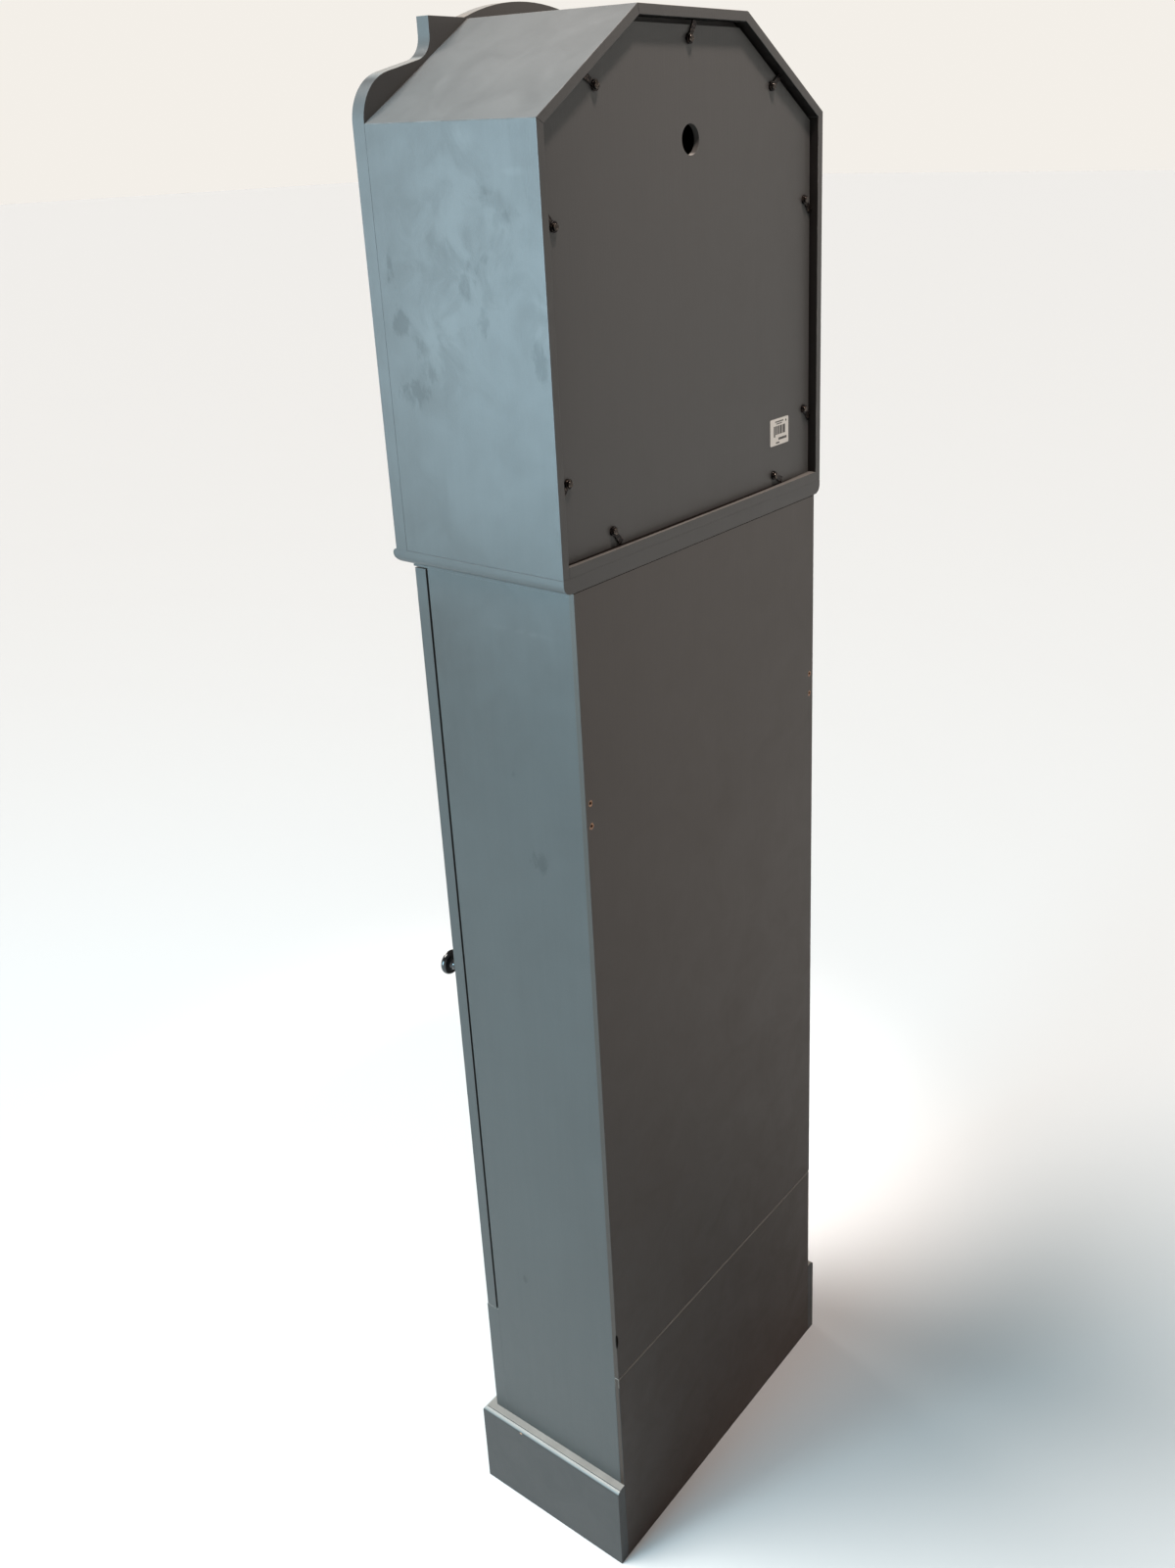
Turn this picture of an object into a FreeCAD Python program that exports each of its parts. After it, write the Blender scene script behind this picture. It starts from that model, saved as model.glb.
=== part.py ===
import FreeCAD, Part
import math
import os

from FreeCAD import Vector

os.makedirs("parts", exist_ok=True)

# All lengths are in millimetres. The cabinet stands on z = 0 and its front faces -Y.
# A "depth" is a distance forward from the flat plane of the back, and a "rise" is a height above something.
# Right is +X and left is -X, as seen from the front.

# Boards, by thickness
hood_board = 9.0
front_board = 15.0
trunk_board = 15.0
back_board = 6.0
door_board = 15.0
lower_front_board = 19.0

# Trunk
trunk_width = 431.0
trunk_height = 1252.5
carcass_depth = 189.5
cap_lip = 4.5
floor_height = 290.5
back_seam = 0.6
back_seam_bevel = 0.9
shelf_side_play = 0.5
shelf_back_play = 1.0
shelf_front_setback = 12.0

# Door
door_gap = 3.0
door_top_gap = 1.5
door_foot_gap = 1.5
door_field_margin = 62.0
door_field_depth = 3.0
door_field_corner = 6.0
door_edge_round = 1.0

# Hood
hood_width = 457.0
hood_box_depth = 202.0
hood_side_rise = 407.5
roof_rise = 90.0
roof_flat_width = 174.0
base_board = 15.0
base_nose = 5.0
base_lower_round = 10.0
base_upper_round = 4.5
rail_rise = 10.5
rail_ledge = 9.0
panel_lap = 4.0

# Pediment outline
shoulder_radius = 45.0
ear_half_width = 137.7
ear_rise = 1.0
ear_drop = 16.0
scroll_radius = 22.0
arch_half_width = 90.0
arch_rise = 17.0

# Hood back panel
panel_board = 6.0
panel_side_play = 2.5
panel_slope_play = 4.0
panel_top_play = 5.0
panel_hole_radius = 14.0
panel_hole_share = 0.788
cleat = 12.0

# Label
label_width = 37.0
label_height = 29.0
label_paper = 0.3
label_inset = 64.0
label_rise = 57.5
label_corner = 1.5

# Turning clips
clip_length = 17.5
clip_boss_radius = 4.8
clip_neck_half = 2.2
clip_foot_half = 3.6
clip_corner = 1.2
clip_boss_height = 2.6
clip_plate = 1.6
clip_play = 0.1
clip_bore_play = 0.06
clip_seat_gap = 0.3
clip_inset_top = 16.5
clip_inset_slope = 17.2
clip_inset_side = 14.5
clip_inset_foot_right = 15.5
clip_inset_foot_left = 11.0
clip_side_shares = (0.79, 0.218)
clip_foot_share = 0.651
clip_slope_share = 0.512
clip_screw_radius = 1.5
clip_screw_head_radius = 3.3
clip_screw_head_height = 1.9
clip_screw_depth = 5.0

# Dial and glass
dial_height_share = 0.45
dial_opening_radius = 145.0
dial_plate_board = 3.0
dial_plate_lap = 15.0
glass_lap = 5.0
glass_thickness = 2.0
glass_rebate = 2.2
glass_play = 0.5
bezel_lap = 6.0
bezel_width = 16.0
bezel_height = 4.5
bezel_round = 1.8
dial_screw_radius = 1.5
dial_screw_head_radius = 3.2
dial_screw_head_height = 1.8
dial_screw_grip = 8.0
dial_screw_count = 4

# Movement
case_side = 56.0
case_depth = 16.0
case_corner = 4.0
case_face = 1.2
bush_radius = 3.9
bush_rise = 5.0
bush_play = 0.1
nut_radius = 6.5
nut_height = 2.0
shaft_radius = 1.5
shaft_play = 0.05
hour_tube_radius = 2.5
battery_radius = 7.25
battery_length = 50.5
battery_play = 0.3
setting_radius = 6.0
setting_height = 3.0
setting_stem_radius = 1.5
setting_stem = 5.0
setting_offset = 17.0
setting_lift = 0.3

# Hands
hand_plate = 0.8
hand_lift = 0.35
hand_layer = 2.4
hour_hand_length = 74.0
minute_hand_length = 112.0
hand_hub_radius = 7.0
hand_root_half = 2.4
hand_tip_half = 0.9
hand_spade_radius = 7.5
hand_spade_share = 0.74
hand_tail = 16.0
hour_hand_angle = 305.0
minute_hand_angle = 60.0
hand_nut_radius = 3.0
hand_nut_height = 1.8

# Knob
knob_inset = 17.5
knob_radius = 14.6
knob_projection = 29.5
knob_rim_reach = 23.3
knob_rim_round = 4.0
knob_rose_radius = 8.0
knob_rose_height = 2.0
knob_neck_radius = 5.0
knob_screw_radius = 2.0
knob_screw_head_radius = 4.0
knob_screw_head_height = 1.8
knob_screw_grip = 10.0

# Hinges
hinge_height = 60.0
hinge_knuckle_radius = 2.6
hinge_pin_radius = 1.25
hinge_play = 0.3
hinge_pin_play = 0.05
hinge_end_play = 0.2
hinge_shares = (0.12, 0.5, 0.88)
hinge_screw_radius = 1.4
hinge_screw_head_radius = 2.7
hinge_screw_length = 12.0
hinge_screw_spacing = 20.0

# Catch
catch_height_share = 0.86
catch_height = 44.0
catch_width = 14.0
catch_length = 24.0
catch_plate_height = 36.0
catch_plate_width = 12.0
catch_plate_thickness = 1.2
catch_gap = 0.3

# Shelf pins and screws that join the two boxes
pin_radius = 2.5
pin_set_in = 9.0
pin_reach = 8.0
pin_inset = 34.0
join_screw_radius = 2.0
join_screw_head_radius = 4.0
join_screw_length = 28.0
join_screw_inset = 40.0
screw_play = 0.05

# Holes left by wall brackets
bracket_hole_radius = 2.0
bracket_hole_depth = 26.0
bracket_hole_spacing = 25.0
bracket_hole_share = 0.8164

# Plinth
skirting_board = 13.0
skirting_height = 120.5
skirting_step = 1.2
skirting_nose = 4.4
skirting_nose_drop = 6.0

# One overrun for every cutting body
overrun = 2.0

# Levels and half widths worked out from the sizes above
hood_half = hood_width / 2
trunk_half = trunk_width / 2
roof_flat_half = roof_flat_width / 2
base_top = trunk_height + base_board
rail_top = base_top + rail_rise
panel_seat = rail_top - panel_lap
shoulder = trunk_height + hood_side_rise
roof_top = shoulder + roof_rise
ear_top = roof_top + ear_rise
hood_inner_half = hood_half - hood_board
trunk_inner_half = trunk_half - trunk_board
cap_underside = trunk_height - cap_lip
trunk_top_underside = cap_underside - trunk_board
hood_front_depth = hood_box_depth + front_board
panel_face_depth = rail_ledge
panel_inner_depth = rail_ledge + panel_board
door_rear_depth = carcass_depth + door_gap
door_front_depth = door_rear_depth + door_board
lower_front_depth = carcass_depth + lower_front_board
plinth_depth = lower_front_depth + skirting_board
door_foot = floor_height
door_top = cap_underside - door_top_gap
door_height = door_top - door_foot
door_middle = (door_top + door_foot) / 2
floor_top = floor_height + trunk_board / 2
floor_underside = floor_height - trunk_board / 2
dial_z = base_top + (roof_top - base_top) * dial_height_share
knob_x = trunk_half - knob_inset
join_x = trunk_inner_half - join_screw_inset
hinge_x = -(trunk_half + hinge_knuckle_radius + hinge_play)
hinge_depth = carcass_depth + door_gap / 2
hinge_leaf = (door_gap - hinge_play) / 2
case_front = hood_box_depth - dial_plate_board
case_rear = case_front - case_depth
bush_end = hood_box_depth + bush_rise
shaft_start = case_rear + case_depth / 2
hour_depth = bush_end + hand_lift
minute_depth = hour_depth + hand_layer
front_reach = max(door_front_depth + knob_projection, hood_front_depth + base_nose)
back_y = front_reach / 2

forward = Vector(0, -1, 0)
backward = Vector(0, 1, 0)
sideways = Vector(1, 0, 0)
upward = Vector(0, 0, 1)


def at(x, depth, z):
    """A point given by its depth forward from the plane of the back."""
    return Vector(x, back_y - depth, z)


def block(x_span, depth_span, z_span):
    """A box between two places along each direction."""
    low = at(min(x_span), max(depth_span), min(z_span))
    width = max(x_span) - min(x_span)
    depth = max(depth_span) - min(depth_span)
    height = max(z_span) - min(z_span)
    return Part.makeBox(width, depth, height, low)


def rod(start, direction, length, radius):
    return Part.makeCylinder(radius, length, start, direction)


def disc(x, z, depth_span, radius):
    """A round body along the depth, between two depths."""
    start = at(x, min(depth_span), z)
    return rod(start, forward, max(depth_span) - min(depth_span), radius)


def drill(x, z, depth_span, radius):
    """A cutting body that overruns both ends of a through hole."""
    return disc(x, z, (min(depth_span) - overrun, max(depth_span) + overrun), radius)


def cut_all(shape, cutters):
    for cutter in cutters:
        shape = shape.cut(cutter)
    return shape


def front_prism(points, depth_span):
    """A solid from a straight-sided outline of (x, z) points, between two depths."""
    corners = [at(x, min(depth_span), z) for x, z in points]
    face = Part.Face(Part.makePolygon(corners + corners[:1]))
    return face.extrude(forward * (max(depth_span) - min(depth_span)))


def side_prism(points, x_span):
    """A solid from a straight-sided outline of (depth, z) points, between two places along X."""
    corners = [at(min(x_span), depth, z) for depth, z in points]
    face = Part.Face(Part.makePolygon(corners + corners[:1]))
    return face.extrude(sideways * (max(x_span) - min(x_span)))


def arc(first, middle, last):
    return Part.Arc(first, middle, last).toShape()


def line(first, last):
    return Part.LineSegment(first, last).toShape()


def mirrored(shape):
    return shape.mirror(Vector(0, 0, 0), sideways)


def edges_where(shape, test):
    return [edge for edge in shape.Edges if test(edge.CenterOfMass)]


def same(first, second):
    return math.isclose(first, second, rel_tol=1e-6, abs_tol=1e-4)


def save(name, shape):
    shape.exportStep("parts/" + name + ".step")


def save_group(name, shapes):
    save(name, Part.makeCompound(shapes))


def pan_screw(tip, direction, grip, radius, head_radius, head_height):
    """A screw whose domed head stands at the far end of its grip."""
    shank = rod(tip, direction, grip, radius)
    seat = tip + direction * grip
    head = rod(seat, direction, head_height, head_radius)
    rim = edges_where(head, lambda c: same((c - seat).dot(direction), head_height))
    head = head.makeFillet(head_height / 2, rim)
    return shank.fuse(head).removeSplitter()


def sunk_screw(face_point, inward, length, radius, head_radius, play):
    """A countersunk screw whose flat head lies level with a face, grown by the play for its hole."""
    head_height = head_radius - radius
    grown_head = head_radius + play
    grown_shank = radius + play
    head = Part.makeCone(grown_head, grown_shank, head_height, face_point, inward)
    shank = rod(face_point, inward, length + play, grown_shank)
    return head.fuse(shank).removeSplitter()


# Hood shell: five boards mitred round an open-backed box

roof_outline = [
    (hood_half, base_top),
    (hood_half, shoulder),
    (roof_flat_half, roof_top),
    (-roof_flat_half, roof_top),
    (-hood_half, shoulder),
    (-hood_half, base_top),
]


def inset_outline(offsets):
    """The roof outline moved inward, each of its five sides by its own offset."""
    sides = []
    for (x1, z1), (x2, z2), offset in zip(roof_outline, roof_outline[1:], offsets):
        run = math.hypot(x2 - x1, z2 - z1)
        ux, uz = (x2 - x1) / run, (z2 - z1) / run
        sides.append((x1 - uz * offset, z1 + ux * offset, ux, uz))
    corners = [(sides[0][0], base_top)]
    for (x1, z1, ux1, uz1), (x2, z2, ux2, uz2) in zip(sides, sides[1:]):
        cross = ux1 * uz2 - uz1 * ux2
        along = ((x2 - x1) * uz2 - (z2 - z1) * ux2) / cross
        corners.append((x1 + ux1 * along, z1 + uz1 * along))
    corners.append((sides[-1][0], base_top))
    return corners


def ring_boards(outer_offset, inner_offset, depth_span):
    """Right side, right slope, top, left slope and left side of a mitred ring."""
    outer = inset_outline([outer_offset] * 5)
    inner = inset_outline([inner_offset] * 5)
    boards = []
    for i in range(5):
        quad = [outer[i], outer[i + 1], inner[i + 1], inner[i]]
        boards.append(front_prism(quad, depth_span))
    return boards


def make_hood_shell():
    names = ["hood_side_right", "hood_slope_right", "hood_top", "hood_slope_left", "hood_side_left"]
    for name, board in zip(names, ring_boards(0, hood_board, (0, hood_box_depth))):
        save(name, board)


def make_cleats():
    names = ["cleat_right", "cleat_slope_right", "cleat_top", "cleat_slope_left", "cleat_left"]
    depths = (panel_inner_depth, panel_inner_depth + cleat)
    for name, strip in zip(names, ring_boards(hood_board, hood_board + cleat, depths)):
        save(name, strip)


def make_base_board():
    """Bottom board of the hood, flush with its sides, with a bullnose past the front board."""
    front = hood_front_depth + base_nose
    front_y = back_y - front
    board = block((-hood_half, hood_half), (0, front), (trunk_height, base_top))
    low_edges = edges_where(
        board,
        lambda c: same(c.z, trunk_height) and (same(abs(c.x), hood_half) or same(c.y, front_y)),
    )
    board = board.makeFillet(base_lower_round, low_edges)
    top_edges = edges_where(board, lambda c: same(c.z, base_top) and same(c.y, front_y))
    board = board.makeFillet(base_upper_round, top_edges)
    save("hood_base_board", cut_all(board, join_screws(screw_play)))


def make_rear_rail():
    """Low rail behind the panel's foot, rebated so that the panel stands in it."""
    outline = [
        (0, base_top),
        (0, rail_top),
        (rail_ledge, rail_top),
        (rail_ledge, panel_seat),
        (panel_inner_depth, panel_seat),
        (panel_inner_depth, base_top),
    ]
    save("hood_rear_rail", side_prism(outline, (-hood_inner_half, hood_inner_half)))


# Pediment board: shoulders, scrolls, ears and a low arch, with the round opening for the dial


def pediment_half():
    """Edges of the right half of the outline, from the foot up to the foot of the arch."""
    depth = hood_box_depth
    shoulder_x = hood_half - shoulder_radius
    scroll_x = ear_half_width + scroll_radius
    scroll_z = ear_top - ear_drop
    reach_x = scroll_x - shoulder_x
    reach_z = scroll_z - shoulder
    reach = math.hypot(reach_x, reach_z)
    turn = math.atan2(reach_z, reach_x) - math.acos((shoulder_radius + scroll_radius) / reach)
    turn_back = turn + math.pi

    def on_shoulder(angle):
        rise = shoulder_radius * math.sin(angle)
        return at(shoulder_x + shoulder_radius * math.cos(angle), depth, shoulder + rise)

    def on_scroll(angle):
        rise = scroll_radius * math.sin(angle)
        return at(scroll_x + scroll_radius * math.cos(angle), depth, scroll_z + rise)

    ear_corner = at(ear_half_width, depth, ear_top)
    arch_foot = at(arch_half_width, depth, ear_top)
    return [
        line(at(hood_half, depth, base_top), on_shoulder(0)),
        arc(on_shoulder(0), on_shoulder(turn / 2), on_shoulder(turn)),
        line(on_shoulder(turn), on_scroll(turn_back)),
        arc(on_scroll(turn_back), on_scroll((turn_back + math.pi) / 2), on_scroll(math.pi)),
        line(on_scroll(math.pi), ear_corner),
        line(ear_corner, arch_foot),
    ]


def make_pediment_board():
    depth = hood_box_depth
    half = pediment_half()
    crown = arc(
        at(arch_half_width, depth, ear_top),
        at(0, depth, ear_top + arch_rise),
        at(-arch_half_width, depth, ear_top),
    )
    foot = line(at(-hood_half, depth, base_top), at(hood_half, depth, base_top))
    edges = half + [crown, foot] + [mirrored(edge) for edge in half]
    wire = Part.Wire(Part.__sortEdges__(edges))
    board = Part.Face(wire).extrude(forward * front_board)
    opening = drill(0, dial_z, (depth, hood_front_depth), dial_opening_radius)
    rebate_span = (hood_front_depth - glass_rebate, hood_front_depth + overrun)
    rebate = disc(0, dial_z, rebate_span, dial_opening_radius + glass_lap)
    save("pediment_board", cut_all(board, [opening, rebate] + dial_screws(screw_play)))


# Loose back panel of the hood, its label and its turning clips


def panel_outline():
    side = hood_board + panel_side_play
    slope = hood_board + panel_slope_play
    top = hood_board + panel_top_play
    corners = inset_outline([side, slope, top, slope, side])
    corners[0] = (corners[0][0], panel_seat)
    corners[-1] = (corners[-1][0], panel_seat)
    return corners


def clip_places():
    """Each clip's name, boss place, direction to its frame face, boss inset and turning sense."""
    inner = inset_outline([hood_board] * 5)
    side_low, side_high = inner[0][1], inner[1][1]
    slope_run = (inner[2][0] - inner[1][0], inner[2][1] - inner[1][1])
    slope_length = math.hypot(*slope_run)
    slope_normal = (slope_run[1] / slope_length, -slope_run[0] / slope_length)
    slope_x = inner[1][0] + slope_run[0] * clip_slope_share - slope_normal[0] * clip_inset_slope
    slope_z = inner[1][1] + slope_run[1] * clip_slope_share - slope_normal[1] * clip_inset_slope
    slope_angle = math.atan2(slope_normal[1], slope_normal[0])
    foot_x = hood_inner_half * clip_foot_share
    foot_right_z = rail_top + clip_inset_foot_right
    foot_left_z = rail_top + clip_inset_foot_left
    side_x = hood_inner_half - clip_inset_side
    upper_z, lower_z = [side_low + (side_high - side_low) * share for share in clip_side_shares]
    top_z = roof_top - hood_board - clip_inset_top
    return [
        ("top", 0, top_z, math.pi / 2, clip_inset_top, 1),
        ("slope_right", slope_x, slope_z, slope_angle, clip_inset_slope, -1),
        ("slope_left", -slope_x, slope_z, math.pi - slope_angle, clip_inset_slope, 1),
        ("upper_right", side_x, upper_z, 0, clip_inset_side, 1),
        ("upper_left", -side_x, upper_z, math.pi, clip_inset_side, 1),
        ("lower_right", side_x, lower_z, 0, clip_inset_side, -1),
        ("lower_left", -side_x, lower_z, math.pi, clip_inset_side, 1),
        ("foot_right", foot_x, foot_right_z, -math.pi / 2, clip_inset_foot_right, -1),
        ("foot_left", -foot_x, foot_left_z, -math.pi / 2, clip_inset_foot_left, -1),
    ]


def clip_shape(x, z, angle):
    """Round boss on a flat arm that widens to its foot, turned to an angle in the panel's plane."""
    origin = Vector(0, 0, 0)
    half_neck = upward * clip_neck_half
    half_foot = upward * clip_foot_half
    foot = sideways * clip_length
    corners = [-half_neck, foot - half_foot, foot + half_foot, half_neck]
    arm = Part.Face(Part.makePolygon(corners + corners[:1])).extrude(backward * clip_plate)
    foot_edges = edges_where(arm, lambda c: same(c.x, clip_length) and same(abs(c.z), clip_foot_half))
    arm = arm.makeFillet(clip_corner, foot_edges)
    clip = arm.fuse(rod(origin, backward, clip_boss_height, clip_boss_radius)).removeSplitter()
    bore_length = clip_boss_height + 2 * overrun
    clip = clip.cut(rod(forward * overrun, backward, bore_length, clip_screw_radius + clip_bore_play))
    clip.rotate(origin, forward, math.degrees(angle))
    clip.translate(at(x, panel_face_depth - clip_play, z))
    return clip


def clip_screw_set():
    tip_depth = panel_face_depth + clip_screw_depth
    size = (clip_screw_radius, clip_screw_head_radius, clip_screw_head_height)
    grip = clip_screw_depth + clip_boss_height + 2 * clip_play
    return [pan_screw(at(place[1], tip_depth, place[2]), backward, grip, *size) for place in clip_places()]


def clip_pilot_holes():
    span = (panel_face_depth - overrun, panel_face_depth + clip_screw_depth + screw_play)
    return [disc(place[1], place[2], span, clip_screw_radius + screw_play) for place in clip_places()]


def make_back_panel():
    depths = (panel_face_depth, panel_inner_depth)
    panel_top = roof_top - hood_board - panel_top_play
    hole_z = panel_seat + (panel_top - panel_seat) * panel_hole_share
    hole = drill(0, hole_z, depths, panel_hole_radius)
    save("hood_back_panel", cut_all(front_prism(panel_outline(), depths), [hole] + clip_pilot_holes()))


def make_clips():
    """Clips turned until a rounded corner of the foot all but touches the frame."""
    along = clip_length - clip_corner
    across = clip_foot_half - clip_corner
    for name, x, z, outward_angle, inset, way in clip_places():
        reach = inset - clip_seat_gap - clip_corner
        turn = math.atan2(across, along) + math.acos(reach / math.hypot(along, across))
        save("turn_clip_" + name, clip_shape(x, z, outward_angle + way * turn))
    save_group("clip_screws", clip_screw_set())


def make_label():
    x = -(hood_inner_half - label_inset)
    z = rail_top + label_rise
    half_width = label_width / 2
    half_height = label_height / 2
    depths = (panel_face_depth - label_paper, panel_face_depth)
    label = block((x - half_width, x + half_width), depths, (z - half_height, z + half_height))
    corners = edges_where(
        label,
        lambda c: same(abs(c.x - x), half_width) and same(abs(c.z - z), half_height),
    )
    save("blank_label", label.makeFillet(label_corner, corners))


# Dial, bezel, glass and the movement behind them


def dial_screw_places():
    ring = dial_opening_radius + dial_plate_lap / 2
    places = []
    for i in range(dial_screw_count):
        angle = (1 + 2 * i) * math.pi / dial_screw_count
        places.append((ring * math.cos(angle), dial_z + ring * math.sin(angle)))
    return places


def dial_screws(play):
    """Screws from behind through the dial plate, or their pilot holes when play is given."""
    plate_rear = hood_box_depth - dial_plate_board
    tip_depth = hood_box_depth + dial_screw_grip
    grip = tip_depth - plate_rear
    if play:
        span = (plate_rear - overrun, tip_depth + play)
        return [disc(x, z, span, dial_screw_radius + play) for x, z in dial_screw_places()]
    size = (dial_screw_radius, dial_screw_head_radius, dial_screw_head_height)
    return [pan_screw(at(x, tip_depth, z), backward, grip, *size) for x, z in dial_screw_places()]


def make_dial():
    plate_depths = (hood_box_depth - dial_plate_board, hood_box_depth)
    plate = disc(0, dial_z, plate_depths, dial_opening_radius + dial_plate_lap)
    hole = drill(0, dial_z, plate_depths, bush_radius + bush_play)
    save("dial_plate", cut_all(plate, [hole] + dial_screws(screw_play)))
    save_group("dial_screws", dial_screws(0))

    glass_rear = hood_front_depth - glass_rebate
    glass_radius = dial_opening_radius + glass_lap - glass_play
    save("dial_glass", disc(0, dial_z, (glass_rear, glass_rear + glass_thickness), glass_radius))

    bezel_front = hood_front_depth + bezel_height
    bore_radius = dial_opening_radius - bezel_lap
    ring = disc(0, dial_z, (hood_front_depth, bezel_front), bore_radius + bezel_width)
    ring = ring.cut(drill(0, dial_z, (hood_front_depth, bezel_front), bore_radius))
    front_edges = edges_where(ring, lambda c: same(c.y, back_y - bezel_front))
    save("dial_bezel", ring.makeFillet(bezel_round, front_edges))


def make_movement():
    """Sealed clock movement with a threaded bush through the dial, its nut, battery and setting knob."""
    half = case_side / 2
    case = block((-half, half), (case_rear, case_front), (dial_z - half, dial_z + half))
    corners = edges_where(case, lambda c: same(abs(c.x), half) and same(abs(c.z - dial_z), half))
    case = case.makeFillet(case_corner, corners)
    case = case.fuse(disc(0, dial_z, (case_front, bush_end), bush_radius))
    bore = disc(0, dial_z, (shaft_start, bush_end + overrun), hour_tube_radius + shaft_play)
    pocket_half_length = battery_length / 2 + battery_play
    pocket_half_height = battery_radius + battery_play
    battery_z = dial_z - half + case_face + pocket_half_height
    pocket = block(
        (-pocket_half_length, pocket_half_length),
        (case_rear - overrun, case_front - case_face),
        (battery_z - pocket_half_height, battery_z + pocket_half_height),
    )
    stem_z = dial_z + setting_offset
    stem_bore_span = (case_rear - overrun, case_rear + setting_stem + setting_lift)
    stem_bore = disc(0, stem_z, stem_bore_span, setting_stem_radius + shaft_play)
    save("movement_case", cut_all(case, [bore, pocket, stem_bore]).removeSplitter())

    battery_depth = case_front - case_face - pocket_half_height
    battery_start = at(-battery_length / 2, battery_depth, battery_z)
    save("battery", rod(battery_start, sideways, battery_length, battery_radius))

    wheel_front = case_rear - setting_lift
    wheel = disc(0, stem_z, (wheel_front - setting_height, wheel_front), setting_radius)
    stem = disc(0, stem_z, (wheel_front - setting_height / 2, case_rear + setting_stem), setting_stem_radius)
    save("setting_knob", wheel.fuse(stem).removeSplitter())

    nut_depths = (hood_box_depth, hood_box_depth + nut_height)
    nut_corners = []
    for i in range(6):
        angle = i * math.pi / 3
        nut_corners.append((nut_radius * math.cos(angle), dial_z + nut_radius * math.sin(angle)))
    nut = front_prism(nut_corners, nut_depths)
    save("movement_nut", nut.cut(drill(0, dial_z, nut_depths, bush_radius + screw_play)))

    shaft_span = (shaft_start + shaft_play, minute_depth + hand_plate + hand_nut_height / 2)
    save("minute_shaft", disc(0, dial_z, shaft_span, shaft_radius))


def hand_shape(length, angle, depth):
    """A tapered hand with a round hub, a spade near its tip and a short tail."""
    turn = math.radians(angle)
    spade = length * hand_spade_share
    blade_root = spade + hand_spade_radius / 2
    blade_half = hand_spade_radius * math.sin(math.pi / 3)

    def spot(along, across):
        x = along * math.sin(turn) + across * math.cos(turn)
        z = dial_z + along * math.cos(turn) - across * math.sin(turn)
        return x, z

    bar = [
        spot(-hand_tail, -hand_root_half),
        spot(-hand_tail, hand_root_half),
        spot(spade, hand_tip_half),
        spot(spade, -hand_tip_half),
    ]
    blade = [spot(blade_root, -blade_half), spot(blade_root, blade_half), spot(length, 0)]
    span = (depth, depth + hand_plate)
    shape = front_prism(bar, span).fuse(front_prism(blade, span))
    shape = shape.fuse(disc(*spot(spade, 0), span, hand_spade_radius))
    shape = shape.fuse(disc(*spot(0, 0), span, hand_hub_radius))
    return shape.removeSplitter()


def make_hands():
    tube_span = (hood_box_depth, hour_depth + hand_plate)
    hour = hand_shape(hour_hand_length, hour_hand_angle, hour_depth)
    hour = hour.fuse(disc(0, dial_z, tube_span, hour_tube_radius)).removeSplitter()
    save("hour_hand", hour.cut(drill(0, dial_z, tube_span, shaft_radius + shaft_play)))

    nut_depth = minute_depth + hand_plate
    minute = hand_shape(minute_hand_length, minute_hand_angle, minute_depth)
    minute = minute.cut(drill(0, dial_z, (minute_depth, nut_depth), shaft_radius + screw_play))
    save("minute_hand", minute)

    nut_end = nut_depth + hand_nut_height
    nut = disc(0, dial_z, (nut_depth, nut_end), hand_nut_radius)
    rim = edges_where(nut, lambda c: same(c.y, back_y - nut_end))
    nut = nut.makeFillet(hand_nut_height / 4, rim)
    thread_span = (nut_depth - overrun, nut_depth + hand_nut_height / 2 + screw_play)
    save("hand_nut", nut.cut(disc(0, dial_z, thread_span, shaft_radius + screw_play)))


# Screws that hold the hood on the trunk


def join_screws(play):
    size = (join_screw_length, join_screw_radius, join_screw_head_radius)
    screws = []
    for x in (-join_x, join_x):
        for depth in (back_board + join_screw_inset, carcass_depth - join_screw_inset):
            start = at(x, depth, base_top)
            screws.append(sunk_screw(start, -upward, *size, play))
    return screws


# Trunk


def bracket_holes():
    x = trunk_half - trunk_board / 2
    z = trunk_height * bracket_hole_share
    span = (-overrun, bracket_hole_depth)
    holes = []
    for level in (z - bracket_hole_spacing / 2, z + bracket_hole_spacing / 2):
        holes += [disc(-x, level, span, bracket_hole_radius), disc(x, level, span, bracket_hole_radius)]
    return holes


def shelf_levels():
    """Undersides of the two shelves, which part the cupboard into three equal bays."""
    bay = (trunk_top_underside - floor_top - 2 * trunk_board) / 3
    return floor_top + bay, floor_top + 2 * bay + trunk_board


def shelf_pin_set(play):
    depths = (back_board + pin_inset, carcass_depth - shelf_front_setback - pin_inset)
    pins = []
    for level in shelf_levels():
        for depth in depths:
            z = level - pin_radius - screw_play
            length = pin_set_in + pin_reach + play
            start = at(trunk_inner_half - pin_reach, depth, z)
            pin = rod(start, sideways, length, pin_radius + play)
            pins += [pin, mirrored(pin)]
    return pins


def make_trunk_sides():
    side = block((trunk_inner_half, trunk_half), (back_board, carcass_depth), (0, cap_underside))
    cutters = bracket_holes() + shelf_pin_set(screw_play)
    save("trunk_side_right", cut_all(side, cutters))
    save("trunk_side_left", cut_all(mirrored(side), cutters + hinge_screw_set(screw_play)[1]))
    save_group("shelf_pins", shelf_pin_set(0))


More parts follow.
